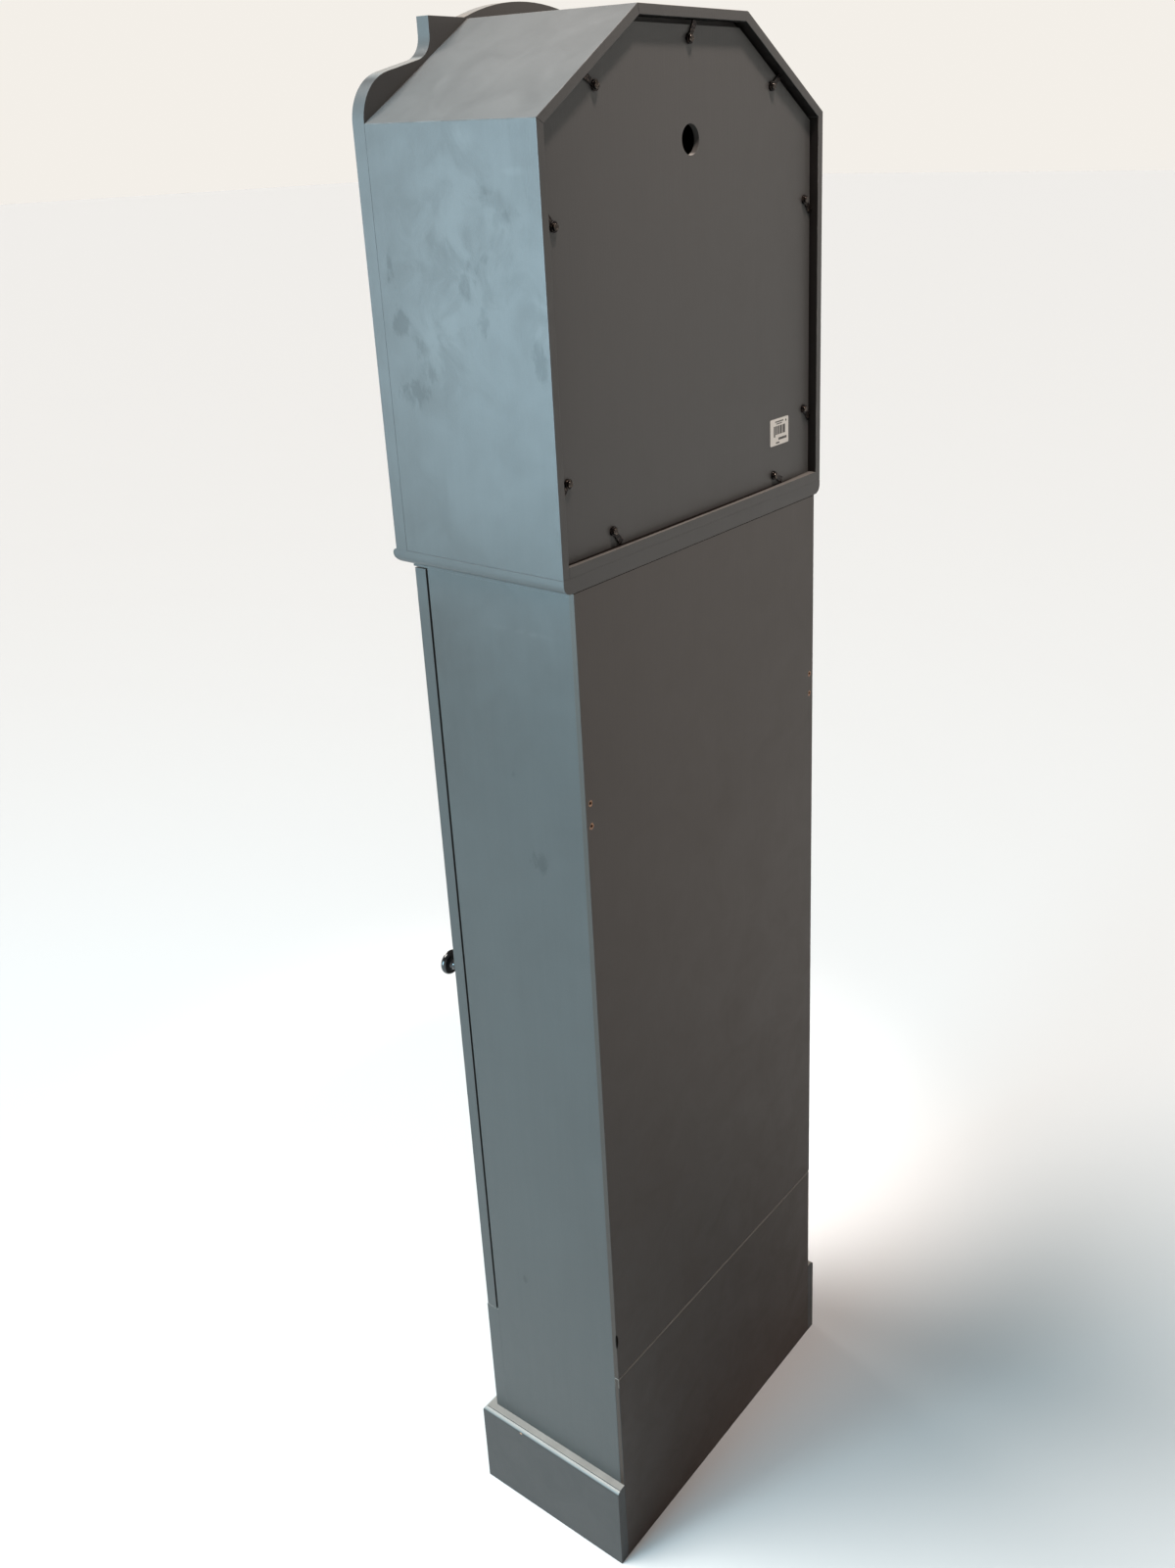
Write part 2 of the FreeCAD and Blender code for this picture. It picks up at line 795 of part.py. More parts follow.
def make_trunk_boards():
    inner = (-trunk_inner_half, trunk_inner_half)
    body = block(inner, (back_board, carcass_depth), (trunk_top_underside, cap_underside))
    lip = block((-trunk_half, trunk_half), (back_board, lower_front_depth), (cap_underside, trunk_height))
    top = body.fuse(lip).removeSplitter()
    save("trunk_top_board", cut_all(top, join_screws(screw_play)))
    save_group("hood_fixing_screws", join_screws(0))

    save("trunk_floor_board", block(inner, (back_board, carcass_depth), (floor_underside, floor_top)))

    shelf_half = trunk_inner_half - shelf_side_play
    depths = (back_board + shelf_back_play, carcass_depth - shelf_front_setback)
    for name, level in zip(("shelf_lower", "shelf_upper"), shelf_levels()):
        save(name, block((-shelf_half, shelf_half), depths, (level, level + trunk_board)))


def bevelled_back(z_span, seam_z):
    """A back panel with a small bevel along its outer edge at the seam."""
    panel = block((-trunk_half, trunk_half), (0, back_board), z_span)
    edge = edges_where(panel, lambda c: same(c.z, seam_z) and same(c.y, back_y))
    return cut_all(panel.makeChamfer(back_seam_bevel, edge), bracket_holes())


def make_trunk_panels():
    upper_foot = floor_height + back_seam / 2
    lower_top = floor_height - back_seam / 2
    save("back_panel_upper", bevelled_back((upper_foot, trunk_height), upper_foot))
    save("back_panel_lower", bevelled_back((0, lower_top), lower_top))
    depths = (carcass_depth, lower_front_depth)
    save("lower_front_panel", block((-trunk_half, trunk_half), depths, (0, floor_height - door_foot_gap)))


# Door, knob, hinges and catch


def make_door():
    depths = (door_rear_depth, door_front_depth)
    front_y = back_y - door_front_depth
    door = block((-trunk_half, trunk_half), depths, (door_foot, door_top))
    field_half = trunk_half - door_field_margin
    field_rise = door_height / 2 - door_field_margin
    field = block(
        (-field_half, field_half),
        (door_front_depth - door_field_depth, door_front_depth + overrun),
        (door_middle - field_rise, door_middle + field_rise),
    )
    corners = edges_where(
        field,
        lambda c: same(abs(c.x), field_half) and same(abs(c.z - door_middle), field_rise),
    )
    door = door.cut(field.makeFillet(door_field_corner, corners))
    outer_edges = edges_where(
        door,
        lambda c: same(c.y, front_y)
        and (same(abs(c.x), trunk_half) or same(c.z, door_foot) or same(c.z, door_top)),
    )
    door = door.makeFillet(door_edge_round, outer_edges)
    knob_hole = drill(knob_x, door_middle, depths, knob_screw_radius + screw_play)
    save("door", cut_all(door, [knob_hole] + hinge_screw_set(screw_play)[0]))


def make_knob():
    """A turned knob: rose, neck, quarter-round flare, rounded rim and a domed head."""
    rim_x = knob_radius - knob_rim_round
    flare = rim_x - knob_neck_radius
    neck_end = knob_rim_reach - knob_rim_round - flare
    rise = knob_projection - knob_rim_reach
    dome = (rim_x**2 + rise**2 - knob_rim_round**2) / (2 * (rise - knob_rim_round))
    dome_centre = knob_projection - dome
    meeting = math.atan2(knob_rim_reach - dome_centre, rim_x)

    def spot(radius, reach):
        return at(knob_x + radius, door_front_depth + reach, door_middle)

    def around(centre_x, centre_reach, radius, angle):
        return spot(centre_x + radius * math.cos(angle), centre_reach + radius * math.sin(angle))

    flare_start = spot(knob_neck_radius, neck_end)
    flare_middle = around(rim_x, neck_end, flare, 3 * math.pi / 4)
    rim_foot = spot(rim_x, knob_rim_reach - knob_rim_round)
    rim_middle = around(rim_x, knob_rim_reach, knob_rim_round, 0)
    rim_top = around(rim_x, knob_rim_reach, knob_rim_round, meeting)
    dome_middle = around(0, dome_centre, dome, (meeting + math.pi / 2) / 2)
    crown = spot(0, knob_projection)
    edges = [
        line(spot(0, 0), spot(knob_rose_radius, 0)),
        line(spot(knob_rose_radius, 0), spot(knob_rose_radius, knob_rose_height)),
        line(spot(knob_rose_radius, knob_rose_height), spot(knob_neck_radius, knob_rose_height)),
        line(spot(knob_neck_radius, knob_rose_height), flare_start),
        arc(flare_start, flare_middle, rim_foot),
        arc(rim_foot, rim_middle, rim_top),
        arc(rim_top, dome_middle, crown),
        line(crown, spot(0, 0)),
    ]
    knob = Part.Face(Part.Wire(edges)).revolve(spot(0, 0), backward, 360)
    bore_length = overrun + knob_screw_grip + screw_play
    bore = rod(spot(0, -overrun), forward, bore_length, knob_screw_radius + screw_play)
    save("door_knob", knob.cut(bore))

    tip = at(knob_x, door_front_depth + knob_screw_grip, door_middle)
    grip = door_board + knob_screw_grip
    head = (knob_screw_head_radius, knob_screw_head_height)
    save("knob_screw", pan_screw(tip, backward, grip, knob_screw_radius, *head))


def hinge_levels():
    return [door_foot + door_height * share for share in hinge_shares]


def hinge_screw_set(play):
    """Countersunk screws of the door leaves and of the case leaves, or their holes when play is given."""
    x = -(trunk_half - trunk_board / 2)
    size = (hinge_screw_length, hinge_screw_radius, hinge_screw_head_radius, play)
    door_screws = []
    case_screws = []
    for level in hinge_levels():
        for step in (-1, 0, 1):
            z = level + step * hinge_screw_spacing
            door_screws.append(sunk_screw(at(x, door_rear_depth - hinge_leaf, z), forward, *size))
            case_screws.append(sunk_screw(at(x, carcass_depth + hinge_leaf, z), backward, *size))
    return door_screws, case_screws


def hinge_plate(level, knuckle_spans, other_spans, depth_span):
    """One leaf: a plate, its knuckles, and room for the knuckles of the other leaf."""
    low = level - hinge_height / 2
    plate = block((hinge_x, -trunk_inner_half), depth_span, (low, low + hinge_height))
    room = hinge_knuckle_radius + hinge_play / 2
    room_x = (hinge_x - room, hinge_x + room)
    room_depth = (hinge_depth - room, hinge_depth + room)
    for span in other_spans:
        plate = plate.cut(block(room_x, room_depth, span))
    for start, end in knuckle_spans:
        plate = plate.fuse(rod(at(hinge_x, hinge_depth, start), upward, end - start, hinge_knuckle_radius))
    return plate.removeSplitter()


def make_hinges():
    door_screws, case_screws = hinge_screw_set(0)
    door_holes, case_holes = hinge_screw_set(screw_play)
    door_span = (door_rear_depth - hinge_leaf, door_rear_depth)
    case_span = (carcass_depth, carcass_depth + hinge_leaf)
    door_leaves = []
    case_leaves = []
    for level in hinge_levels():
        low = level - hinge_height / 2
        high = level + hinge_height / 2
        first = level - hinge_height / 6
        second = level + hinge_height / 6
        ends = [(low, first - hinge_end_play), (second + hinge_end_play, high)]
        end_rooms = [(low - overrun, first), (second, high + overrun)]
        middle_room = [(first - hinge_end_play, second + hinge_end_play)]
        door_leaf = hinge_plate(level, [(first, second)], end_rooms, door_span)
        bore_start = at(hinge_x, hinge_depth, low - overrun)
        bore = rod(bore_start, upward, hinge_height + 2 * overrun, hinge_pin_radius + hinge_pin_play)
        door_leaves.append(cut_all(door_leaf, [bore] + door_holes))
        case_leaf = cut_all(hinge_plate(level, ends, middle_room, case_span), case_holes)
        pin = rod(at(hinge_x, hinge_depth, low), upward, hinge_height, hinge_pin_radius)
        case_leaves.append(case_leaf.fuse(pin).removeSplitter())
    save_group("hinge_leaves_door", door_leaves)
    save_group("hinge_leaves_case", case_leaves)
    save_group("hinge_screws_door", door_screws)
    save_group("hinge_screws_case", case_screws)


def make_catch():
    z = door_foot + door_height * catch_height_share
    plate_face = door_rear_depth - catch_plate_thickness
    catch_front = plate_face - catch_gap
    body = block(
        (trunk_inner_half - catch_width, trunk_inner_half),
        (catch_front - catch_length, catch_front),
        (z - catch_height / 2, z + catch_height / 2),
    )
    save("magnetic_catch", body)
    x = trunk_inner_half - catch_width / 2
    plate = block(
        (x - catch_plate_width / 2, x + catch_plate_width / 2),
        (plate_face, door_rear_depth),
        (z - catch_plate_height / 2, z + catch_plate_height / 2),
    )
    save("catch_plate", plate)


# Plinth: three moulded boards, mitred at the front corners and flush with the back


def skirting_prism(place, sweep):
    """Sweeps the moulding's section; place turns a reach from the trunk and a height into a point."""
    nose_top = skirting_height - skirting_step
    nose_foot = nose_top - skirting_nose_drop
    ledge = skirting_board - skirting_nose
    bulge = math.sin(math.pi / 4)
    edges = [
        line(place(0, 0), place(skirting_board, 0)),
        line(place(skirting_board, 0), place(skirting_board, nose_foot)),
        arc(
            place(skirting_board, nose_foot),
            place(ledge + skirting_nose * bulge, nose_foot + skirting_nose_drop * bulge),
            place(ledge, nose_top),
        ),
        line(place(ledge, nose_top), place(ledge, skirting_height)),
        line(place(ledge, skirting_height), place(0, skirting_height)),
        line(place(0, skirting_height), place(0, 0)),
    ]
    return Part.Face(Part.Wire(edges)).extrude(sweep)


def mitre_wedge(third_corner):
    """A tall wedge on one side of the mitre line through the right front corner."""
    corners = [
        at(trunk_half, lower_front_depth, -overrun),
        at(trunk_half + skirting_board + overrun, plinth_depth + overrun, -overrun),
        third_corner,
    ]
    face = Part.Face(Part.makePolygon(corners + corners[:1]))
    return face.extrude(upward * (skirting_height + 2 * overrun))


def make_skirting():
    outer = trunk_half + skirting_board
    side = skirting_prism(lambda reach, height: at(trunk_half + reach, 0, height), forward * plinth_depth)
    front = skirting_prism(
        lambda reach, height: at(-outer, lower_front_depth + reach, height),
        sideways * (2 * outer),
    )
    side = side.cut(mitre_wedge(at(trunk_half, plinth_depth + overrun, -overrun)))
    front_cut = mitre_wedge(at(outer + overrun, lower_front_depth, -overrun))
    save("skirting_right", side)
    save("skirting_left", mirrored(side))
    save("skirting_front", cut_all(front, [front_cut, mirrored(front_cut)]))


make_hood_shell()
make_cleats()
make_base_board()
make_rear_rail()
make_pediment_board()
make_back_panel()
make_clips()
make_label()
make_dial()
make_movement()
make_hands()
make_trunk_sides()
make_trunk_boards()
make_trunk_panels()
make_door()
make_knob()
make_hinges()
make_catch()
make_skirting()
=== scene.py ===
import math

import bmesh
import bpy
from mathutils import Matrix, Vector


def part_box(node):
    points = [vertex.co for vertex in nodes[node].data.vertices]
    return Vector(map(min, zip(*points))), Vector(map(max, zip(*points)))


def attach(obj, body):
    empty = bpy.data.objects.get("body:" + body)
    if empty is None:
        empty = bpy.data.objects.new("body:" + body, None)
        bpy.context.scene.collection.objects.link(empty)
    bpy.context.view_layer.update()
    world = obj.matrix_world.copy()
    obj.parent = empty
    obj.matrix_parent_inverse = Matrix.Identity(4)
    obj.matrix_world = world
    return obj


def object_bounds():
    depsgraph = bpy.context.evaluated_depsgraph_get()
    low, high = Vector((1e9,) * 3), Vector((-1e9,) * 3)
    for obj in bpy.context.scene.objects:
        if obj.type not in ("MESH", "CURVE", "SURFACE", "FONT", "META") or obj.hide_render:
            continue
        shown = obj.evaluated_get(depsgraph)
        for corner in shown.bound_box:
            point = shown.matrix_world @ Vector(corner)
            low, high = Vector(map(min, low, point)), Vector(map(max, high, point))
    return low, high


# Lengths are in metres and angles in degrees. The cabinet stands on z = 0 with its front towards -Y.
# Right is the +X side, as seen from the front.

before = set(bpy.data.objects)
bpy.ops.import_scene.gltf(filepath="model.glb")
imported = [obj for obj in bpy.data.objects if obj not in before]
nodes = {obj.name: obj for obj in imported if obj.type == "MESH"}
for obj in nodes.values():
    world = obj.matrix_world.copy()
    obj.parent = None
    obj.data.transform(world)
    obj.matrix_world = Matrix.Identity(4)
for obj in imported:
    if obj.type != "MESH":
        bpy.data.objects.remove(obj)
cad_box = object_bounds()
scene = bpy.context.scene

# Camera, its lens and sensor in millimetres
camera_place = (1.16268, 0.93292, 1.648454)
camera_turn = (68.5927, 1.7191, 126.1038)
camera_lens = 32.5661
camera_sensor = 36.0
camera_shift = (-0.052088, -0.063573)

# Lights: sizes in metres and powers in watts, but for the sun, whose size is the angle that it fills
lights = {
    "overhead": {"kind": "SUN", "place": (2.2, -2.6, 6.0), "target": (0.0, 0.0, 0.0), "size": 30.0,
                 "power": 4.15, "colour": (1.0, 0.96, 0.92)},
    "ceiling": {"kind": "SPOT", "place": (0.15, 0.66, 3.2), "target": (-0.04, 0.12, 1.62), "size": 0.09,
                "cone": 29.0, "power": 266.0, "colour": (1.0, 0.86, 0.80)},
    "window": {"kind": "SPOT", "place": (2.9, -0.25, 1.45), "target": (0.22, 0.02, 1.585), "size": 0.12,
               "cone": 19.0, "power": 1125.0, "colour": (0.60, 0.835, 1.0)},
    "side": {"kind": "AREA", "place": (2.7, -0.6, 1.0), "target": (0.2, 0.0, 0.85), "size": 1.3,
             "power": 112.0, "colour": (0.45, 0.82, 1.0)},
    "front": {"kind": "SPOT", "place": (-1.0, -4.2, 1.7), "target": (0.0, 0.0, 1.05), "size": 0.7,
              "cone": 34.0, "power": 400.0, "colour": (1.0, 0.97, 0.93)},
}

# Room: the light of the air, brighter along the horizon and fading between two heights in the sky
room_colour = (1.0, 0.96, 0.90)
room_strength = 0.15
horizon_strength = 0.9
horizon_top = 0.12
horizon_end = 0.5

# Floor
floor_half = 45.0
floor_tone = (0.64, 0.652, 0.66)
floor_rough = 0.9
floor_shine = 0.1

# Rounding of edges
board_edge = 0.0005
joint_edge = 0.0002
fitting_edge = 0.0003
clip_edge = 0.00025
hand_edge = 0.0001
label_edge = 0.00005
weld_reach = 0.000002
sharp_angle = 35.0
flat_angle = 0.3

# Paint tones
paint_tone = (0.0460, 0.0445, 0.0424)
paint_worn = (0.085, 0.083, 0.079)
# A painted highlight: the pale line where light catches the seam between the back panels
seam_highlight = (0.20, 0.178, 0.155)
# The plinth's paint, darker than the rest as painted shade near the floor
paint_plinth_shaded = (0.0290, 0.0270, 0.0255)
paint_inner = (0.27, 0.28, 0.28)
# Painted shade: the darker, browner tone that the trunk's back takes towards the floor
painted_shade_foot = (0.0215, 0.0130, 0.0090)
# Painted shade: the near black of unlit insides and of dark gaps
painted_shade_black = (0.0070, 0.0058, 0.0052)
# Painted shade: the near black of the cleats, so that the gaps round the hood's back panel read dark
shade_dark_wood = (0.012, 0.0095, 0.008)
raw_wood = (0.30, 0.16, 0.09)

# Dust and a painted highlight on faces that look up, in place of light from above: its tones, how far up a
# face's normal has to point to hold any, and where it lies in full
dust_and_highlight_tone = (0.24, 0.235, 0.22)
rail_dust_and_highlight = (0.12, 0.114, 0.105)
ledge_dust_and_highlight = (0.26, 0.252, 0.235)
slope_level = 0.797
nose_level = 0.25
dust_and_highlight_full = 0.9

# Paint finish: how far its tone swings, its roughness and its shine
cloud_swing = 0.06
side_swing = 0.11
black_swing = 0.3
satin_rough = 0.42
inner_rough = 0.55
paint_shine = 0.3
plain_sheen = (1.0, 1.0, 1.0)
brown_sheen = (0.96, 0.74, 0.62)
rub_shade = 0.66
scuff_shade = 1.34
sound_shade = 1.15
swept_shade = 1.2
seam_shade = 0.4

# Rubs and scuffs on the right side, as Y, Z and their two radii
hood_rubs = ((-0.067, 1.531, 0.012, 0.030), (-0.060, 1.488, 0.022, 0.024), (-0.036, 1.466, 0.026, 0.024),
             (-0.031, 1.448, 0.024, 0.024), (-0.047, 1.425, 0.040, 0.022), (0.036, 1.541, 0.016, 0.014),
             (0.052, 1.549, 0.014, 0.012), (0.025, 1.524, 0.020, 0.020), (0.044, 1.496, 0.016, 0.026),
             (0.079, 1.582, 0.026, 0.014), (0.055, 1.600, 0.016, 0.018), (0.107, 1.465, 0.016, 0.034))
hood_scuffs = ((0.091, 1.619, 0.026, 0.006), (0.030, 1.645, 0.030, 0.020), (0.030, 1.560, 0.110, 0.110),
               (0.110, 1.500, 0.020, 0.040), (-0.010, 1.480, 0.060, 0.070))
trunk_rubs = ((0.051, 0.954, 0.020, 0.026), (-0.020, 0.366, 0.008, 0.010), (0.026, 1.047, 0.005, 0.010))
trunk_scuffs = ((-0.046, 1.186, 0.020, 0.004), (0.050, 1.203, 0.055, 0.005))
mark_depth = 0.02

# Bare wood round the bracket holes and in a nick on the moulding
hole_x = 0.208
hole_levels = (1.010, 1.035)
hole_radii = (0.0052, 0.004, 0.0062)
nick_y = -0.038
nick_level = 0.1145
nick_out = 0.013
nick_radii = (0.004, 0.0035, 0.002)

# Painted shade: on the trunk's back darker from the floor up, at its rear corner and under the base board,
# and along the rail beside the foot of the hood's back panel
painted_shade_height = 1.25
corner_level = 0.348
corner_radii = (0.0055, 0.002, 0.016)
endless = 9.0
joint_radii = (endless, 0.01, 0.0011)
rail_middle = 0.05
rail_radii = (0.40, 0.0085, 0.0085)
seam_radii = (endless, endless, 0.02)

# Dial marks
dial_lift = 0.00012
ink_thickness = 0.00006
ink_layer = 0.00001
track_outer = 0.1335
track_inner = 0.1265
track_line = 0.0006
track_steps = 240
minute_tick = 0.0009
hour_tick = 0.0026
minutes_round = 60
minutes_per_hour = 5
numerals = ("XII", "I", "II", "III", "IIII", "V", "VI", "VII", "VIII", "IX", "X", "XI")
numeral_outer = 0.1205
numeral_height = 0.0255
numeral_thick = 0.0046
numeral_thin = 0.0014
letter_width = numeral_height * 0.62
letter_gap = numeral_thick * 0.85
vee_foot = letter_width * 0.53
serif_height = 0.0009
serif_reach = 0.0016

# Label: bars as left, right and foot, and rules as low, high, left and right, in shares of its two sides
label_bars = ((0.19, 0.285, 0.40), (0.305, 0.345, 0.40), (0.37, 0.455, 0.40), (0.48, 0.545, 0.40),
              (0.57, 0.625, 0.40), (0.645, 0.71, 0.40), (0.74, 0.81, 0.32))
label_rules = ((0.86, 0.91, 0.28, 0.74), (0.785, 0.825, 0.36, 0.68), (0.18, 0.275, 0.10, 0.56),
               (0.06, 0.12, 0.50, 0.70))
bars_top = 0.73
bar_blur = 0.004
dot_share = (0.14, 0.86)
dot_radii = (0.0022, 0.01, 0.0022)

# Most values of a noise lie between these two
noise_low = 0.3
noise_high = 0.7

# How many streaks of wood grain go to a metre
grain_across = 220.0
grain_along = 9.0


class Graph:
    """The node tree of one material. Its calls add nodes and give back their output sockets."""

    def __init__(self, name):
        self.material = bpy.data.materials.new(name)
        self.material.use_nodes = True
        self.tree = self.material.node_tree
        self.tree.nodes.clear()
        self.shader = self.add("ShaderNodeBsdfPrincipled")
        output = self.add("ShaderNodeOutputMaterial")
        self.tree.links.new(self.shader.outputs["BSDF"], output.inputs["Surface"])
        self.place = self.add("ShaderNodeTexCoord").outputs["Object"]

    def add(self, kind, **settings):
        node = self.tree.nodes.new(kind)
        for key, value in settings.items():
            setattr(node, key, value)
        return node

    def feed(self, socket, value):
        """Links a socket to an output, or sets it to a plain value."""
        if isinstance(value, bpy.types.NodeSocket):
            self.tree.links.new(value, socket)
        else:
            socket.default_value = value

    def set(self, **values):
        """Sets the shader's sockets, named in lower case with underscores."""
        for key, value in values.items():
            self.feed(self.shader.inputs[key.replace("_", " ").title().replace("Ior", "IOR")], value)

    def stretch(self, factors, place=None):
        node = self.add("ShaderNodeVectorMath", operation="MULTIPLY")
        self.feed(node.inputs[0], place or self.place)
        node.inputs[1].default_value = factors
        return node.outputs[0]

    def away(self, centre):
        """The way from a centre to each place."""
        node = self.add("ShaderNodeVectorMath", operation="SUBTRACT")
        self.feed(node.inputs[0], self.place)
        node.inputs[1].default_value = centre
        return node.outputs[0]

    def noise(self, scale, detail=3.0, rough=0.5, warp=0.0, place=None):
        node = self.add("ShaderNodeTexNoise")
        self.feed(node.inputs["Vector"], place or self.place)
        node.inputs["Scale"].default_value = scale
        node.inputs["Detail"].default_value = detail
        node.inputs["Roughness"].default_value = rough
        node.inputs["Distortion"].default_value = warp
        return node.outputs["Fac"]

    def streaks(self, factors, detail, rough=0.5, warp=0.0):
        """A noise with its own scale along each axis."""
        return self.noise(1.0, detail, rough, warp, self.stretch(factors))

    def span(self, value, low, high, to_low=0.0, to_high=1.0, smooth=False):
        """Maps low..high to to_low..to_high, held at both ends."""
        node = self.add("ShaderNodeMapRange", clamp=True)
        if smooth:
            node.interpolation_type = "SMOOTHSTEP"
        self.feed(node.inputs["Value"], value)
        self.feed(node.inputs["From Min"], low)
        self.feed(node.inputs["From Max"], high)
        self.feed(node.inputs["To Min"], to_low)
        self.feed(node.inputs["To Max"], to_high)
        return node.outputs["Result"]

    def vary(self, noise, to_low=0.0, to_high=1.0):
        """Maps the usual range of a noise to to_low..to_high."""
        return self.span(noise, noise_low, noise_high, to_low, to_high)

    def join(self, first, second, operation="ADD"):
        node = self.add("ShaderNodeMath", operation=operation)
        self.feed(node.inputs[0], first)
        self.feed(node.inputs[1], second)
        return node.outputs[0]

    def gather(self, values, operation="ADD"):
        """Joins any number of values, from the first to the last."""
        total = values[0]
        for value in values[1:]:
            total = self.join(total, value, operation)
        return total

    def mix(self, share, first, second):
        """A colour that goes from first to second as share goes from 0 to 1."""
        node = self.add("ShaderNodeMix", data_type="RGBA", clamp_factor=True)
        self.feed(node.inputs["Factor"], share)
        self.feed(node.inputs["A"], rgba(first))
        self.feed(node.inputs["B"], rgba(second))
        return [s for s in node.outputs if s.type == "RGBA"][0]

    def swing(self, share, tone, amount):
        """A tone that swings from darker to paler by an amount as share goes from 0 to 1."""
        return self.mix(share, shade(tone, 1.0 - amount), shade(tone, 1.0 + amount))

    def axis(self, name):
        """One coordinate of the place, X, Y or Z."""
        node = self.add("ShaderNodeSeparateXYZ")
        self.feed(node.inputs[0], self.place)
        return node.outputs[name]

    def facing(self):
        """The direction that the face looks in."""
        return self.add("ShaderNodeTexCoord").outputs["Normal"]

    def upward(self, start):
        """One where the face looks straight up, and nothing where its normal rises less than start."""
        split = self.add("ShaderNodeSeparateXYZ")
        self.feed(split.inputs[0], self.facing())
        return self.span(split.outputs["Z"], start, start + (1.0 - start) * dust_and_highlight_full, smooth=True)

    def inward(self, centre):
        """One on faces that look towards the centre, nothing on faces that look away from it."""
        across = self.add("ShaderNodeVectorMath", operation="DOT_PRODUCT")
        self.feed(across.inputs[0], self.away(centre))
        self.feed(across.inputs[1], self.facing())
        return self.span(across.outputs["Value"], low=-0.01, high=0.0, to_low=1.0, to_high=0.0)

    def spot(self, centre, radii):
        """One at the centre, falling to nothing at the three radii."""
        length = self.add("ShaderNodeVectorMath", operation="LENGTH")
        self.feed(length.inputs[0], self.stretch([1.0 / r for r in radii], self.away(centre)))
        return self.span(length.outputs["Value"], low=0.0, high=1.0, to_low=1.0, to_high=0.0, smooth=True)

    def spots(self, marks):
        """The strongest of several spots, given as pairs of a centre and its radii."""
        return self.gather([self.spot(centre, radii) for centre, radii in marks], "MAXIMUM")

    def bump(self, *layers):
        """Bumps from pairs of a height socket and its depth in metres, laid over each other."""
        normal = None
        for height, depth in layers:
            node = self.add("ShaderNodeBump")
            node.inputs["Strength"].default_value = 1.0
            node.inputs["Distance"].default_value = depth
            self.feed(node.inputs["Height"], height)
            if normal:
                self.feed(node.inputs["Normal"], normal)
            normal = node.outputs["Normal"]
        self.set(normal=normal)


def rgba(colour):
    if isinstance(colour, bpy.types.NodeSocket):
        return colour
    return (*colour, 1.0)


def shade(colour, factor):
    return tuple(c * factor for c in colour)


def coat_drift(g, clouds, patches):
    """The share of light in a brushed coat, from clouds, strokes along Z, patches and a fine mottle."""
    strokes = g.streaks((110.0, 110.0, 6.0), detail=3.0)
    mottle = g.noise(scale=420.0, detail=2.0)
    return g.gather([g.span(clouds, low=0.34, high=0.66, to_high=0.36), g.vary(strokes, to_high=0.22),
                     g.span(patches, low=0.36, high=0.64, to_high=0.27), g.vary(mottle, to_high=0.15)])


def add_rubs(g, colour, tone, rubs):
    """Dark greasy rubs with a broken outline."""
    smear = g.noise(scale=85.0, detail=5.0, rough=0.7, warp=0.3, place=g.stretch((1.0, 1.0, 0.5)))
    ragged = g.join(g.spots(rubs), g.span(smear, low=0.35, high=0.65, to_low=-0.55, to_high=0.35))
    return g.mix(g.span(ragged, low=0.35, high=0.8, to_high=0.85), colour, shade(tone, rub_shade))


def add_scuffs(g, colour, tone, scuffs, patches):
    """Pale scuffs that show in patches."""
    share = g.join(g.spots(scuffs), g.span(patches, low=0.42, high=0.56), "MULTIPLY")
    return g.mix(g.span(share, low=0.0, high=0.8, to_high=0.5), colour, shade(tone, scuff_shade))


def add_bare_wood(g, colour, bare):
    """Raw wood with a ragged rim."""
    ragged = g.noise(scale=700.0, detail=3.0, rough=0.7)
    share = g.span(g.join(g.spots(bare), g.vary(ragged, to_low=-0.25, to_high=0.25)), low=0.38, high=0.5)
    dark_wood = shade(raw_wood, 0.5)
    pale_wood = shade(raw_wood, 1.3)
    wood = g.mix(g.noise(scale=900.0, detail=2.0), dark_wood, pale_wood)
    return g.mix(share, colour, wood)


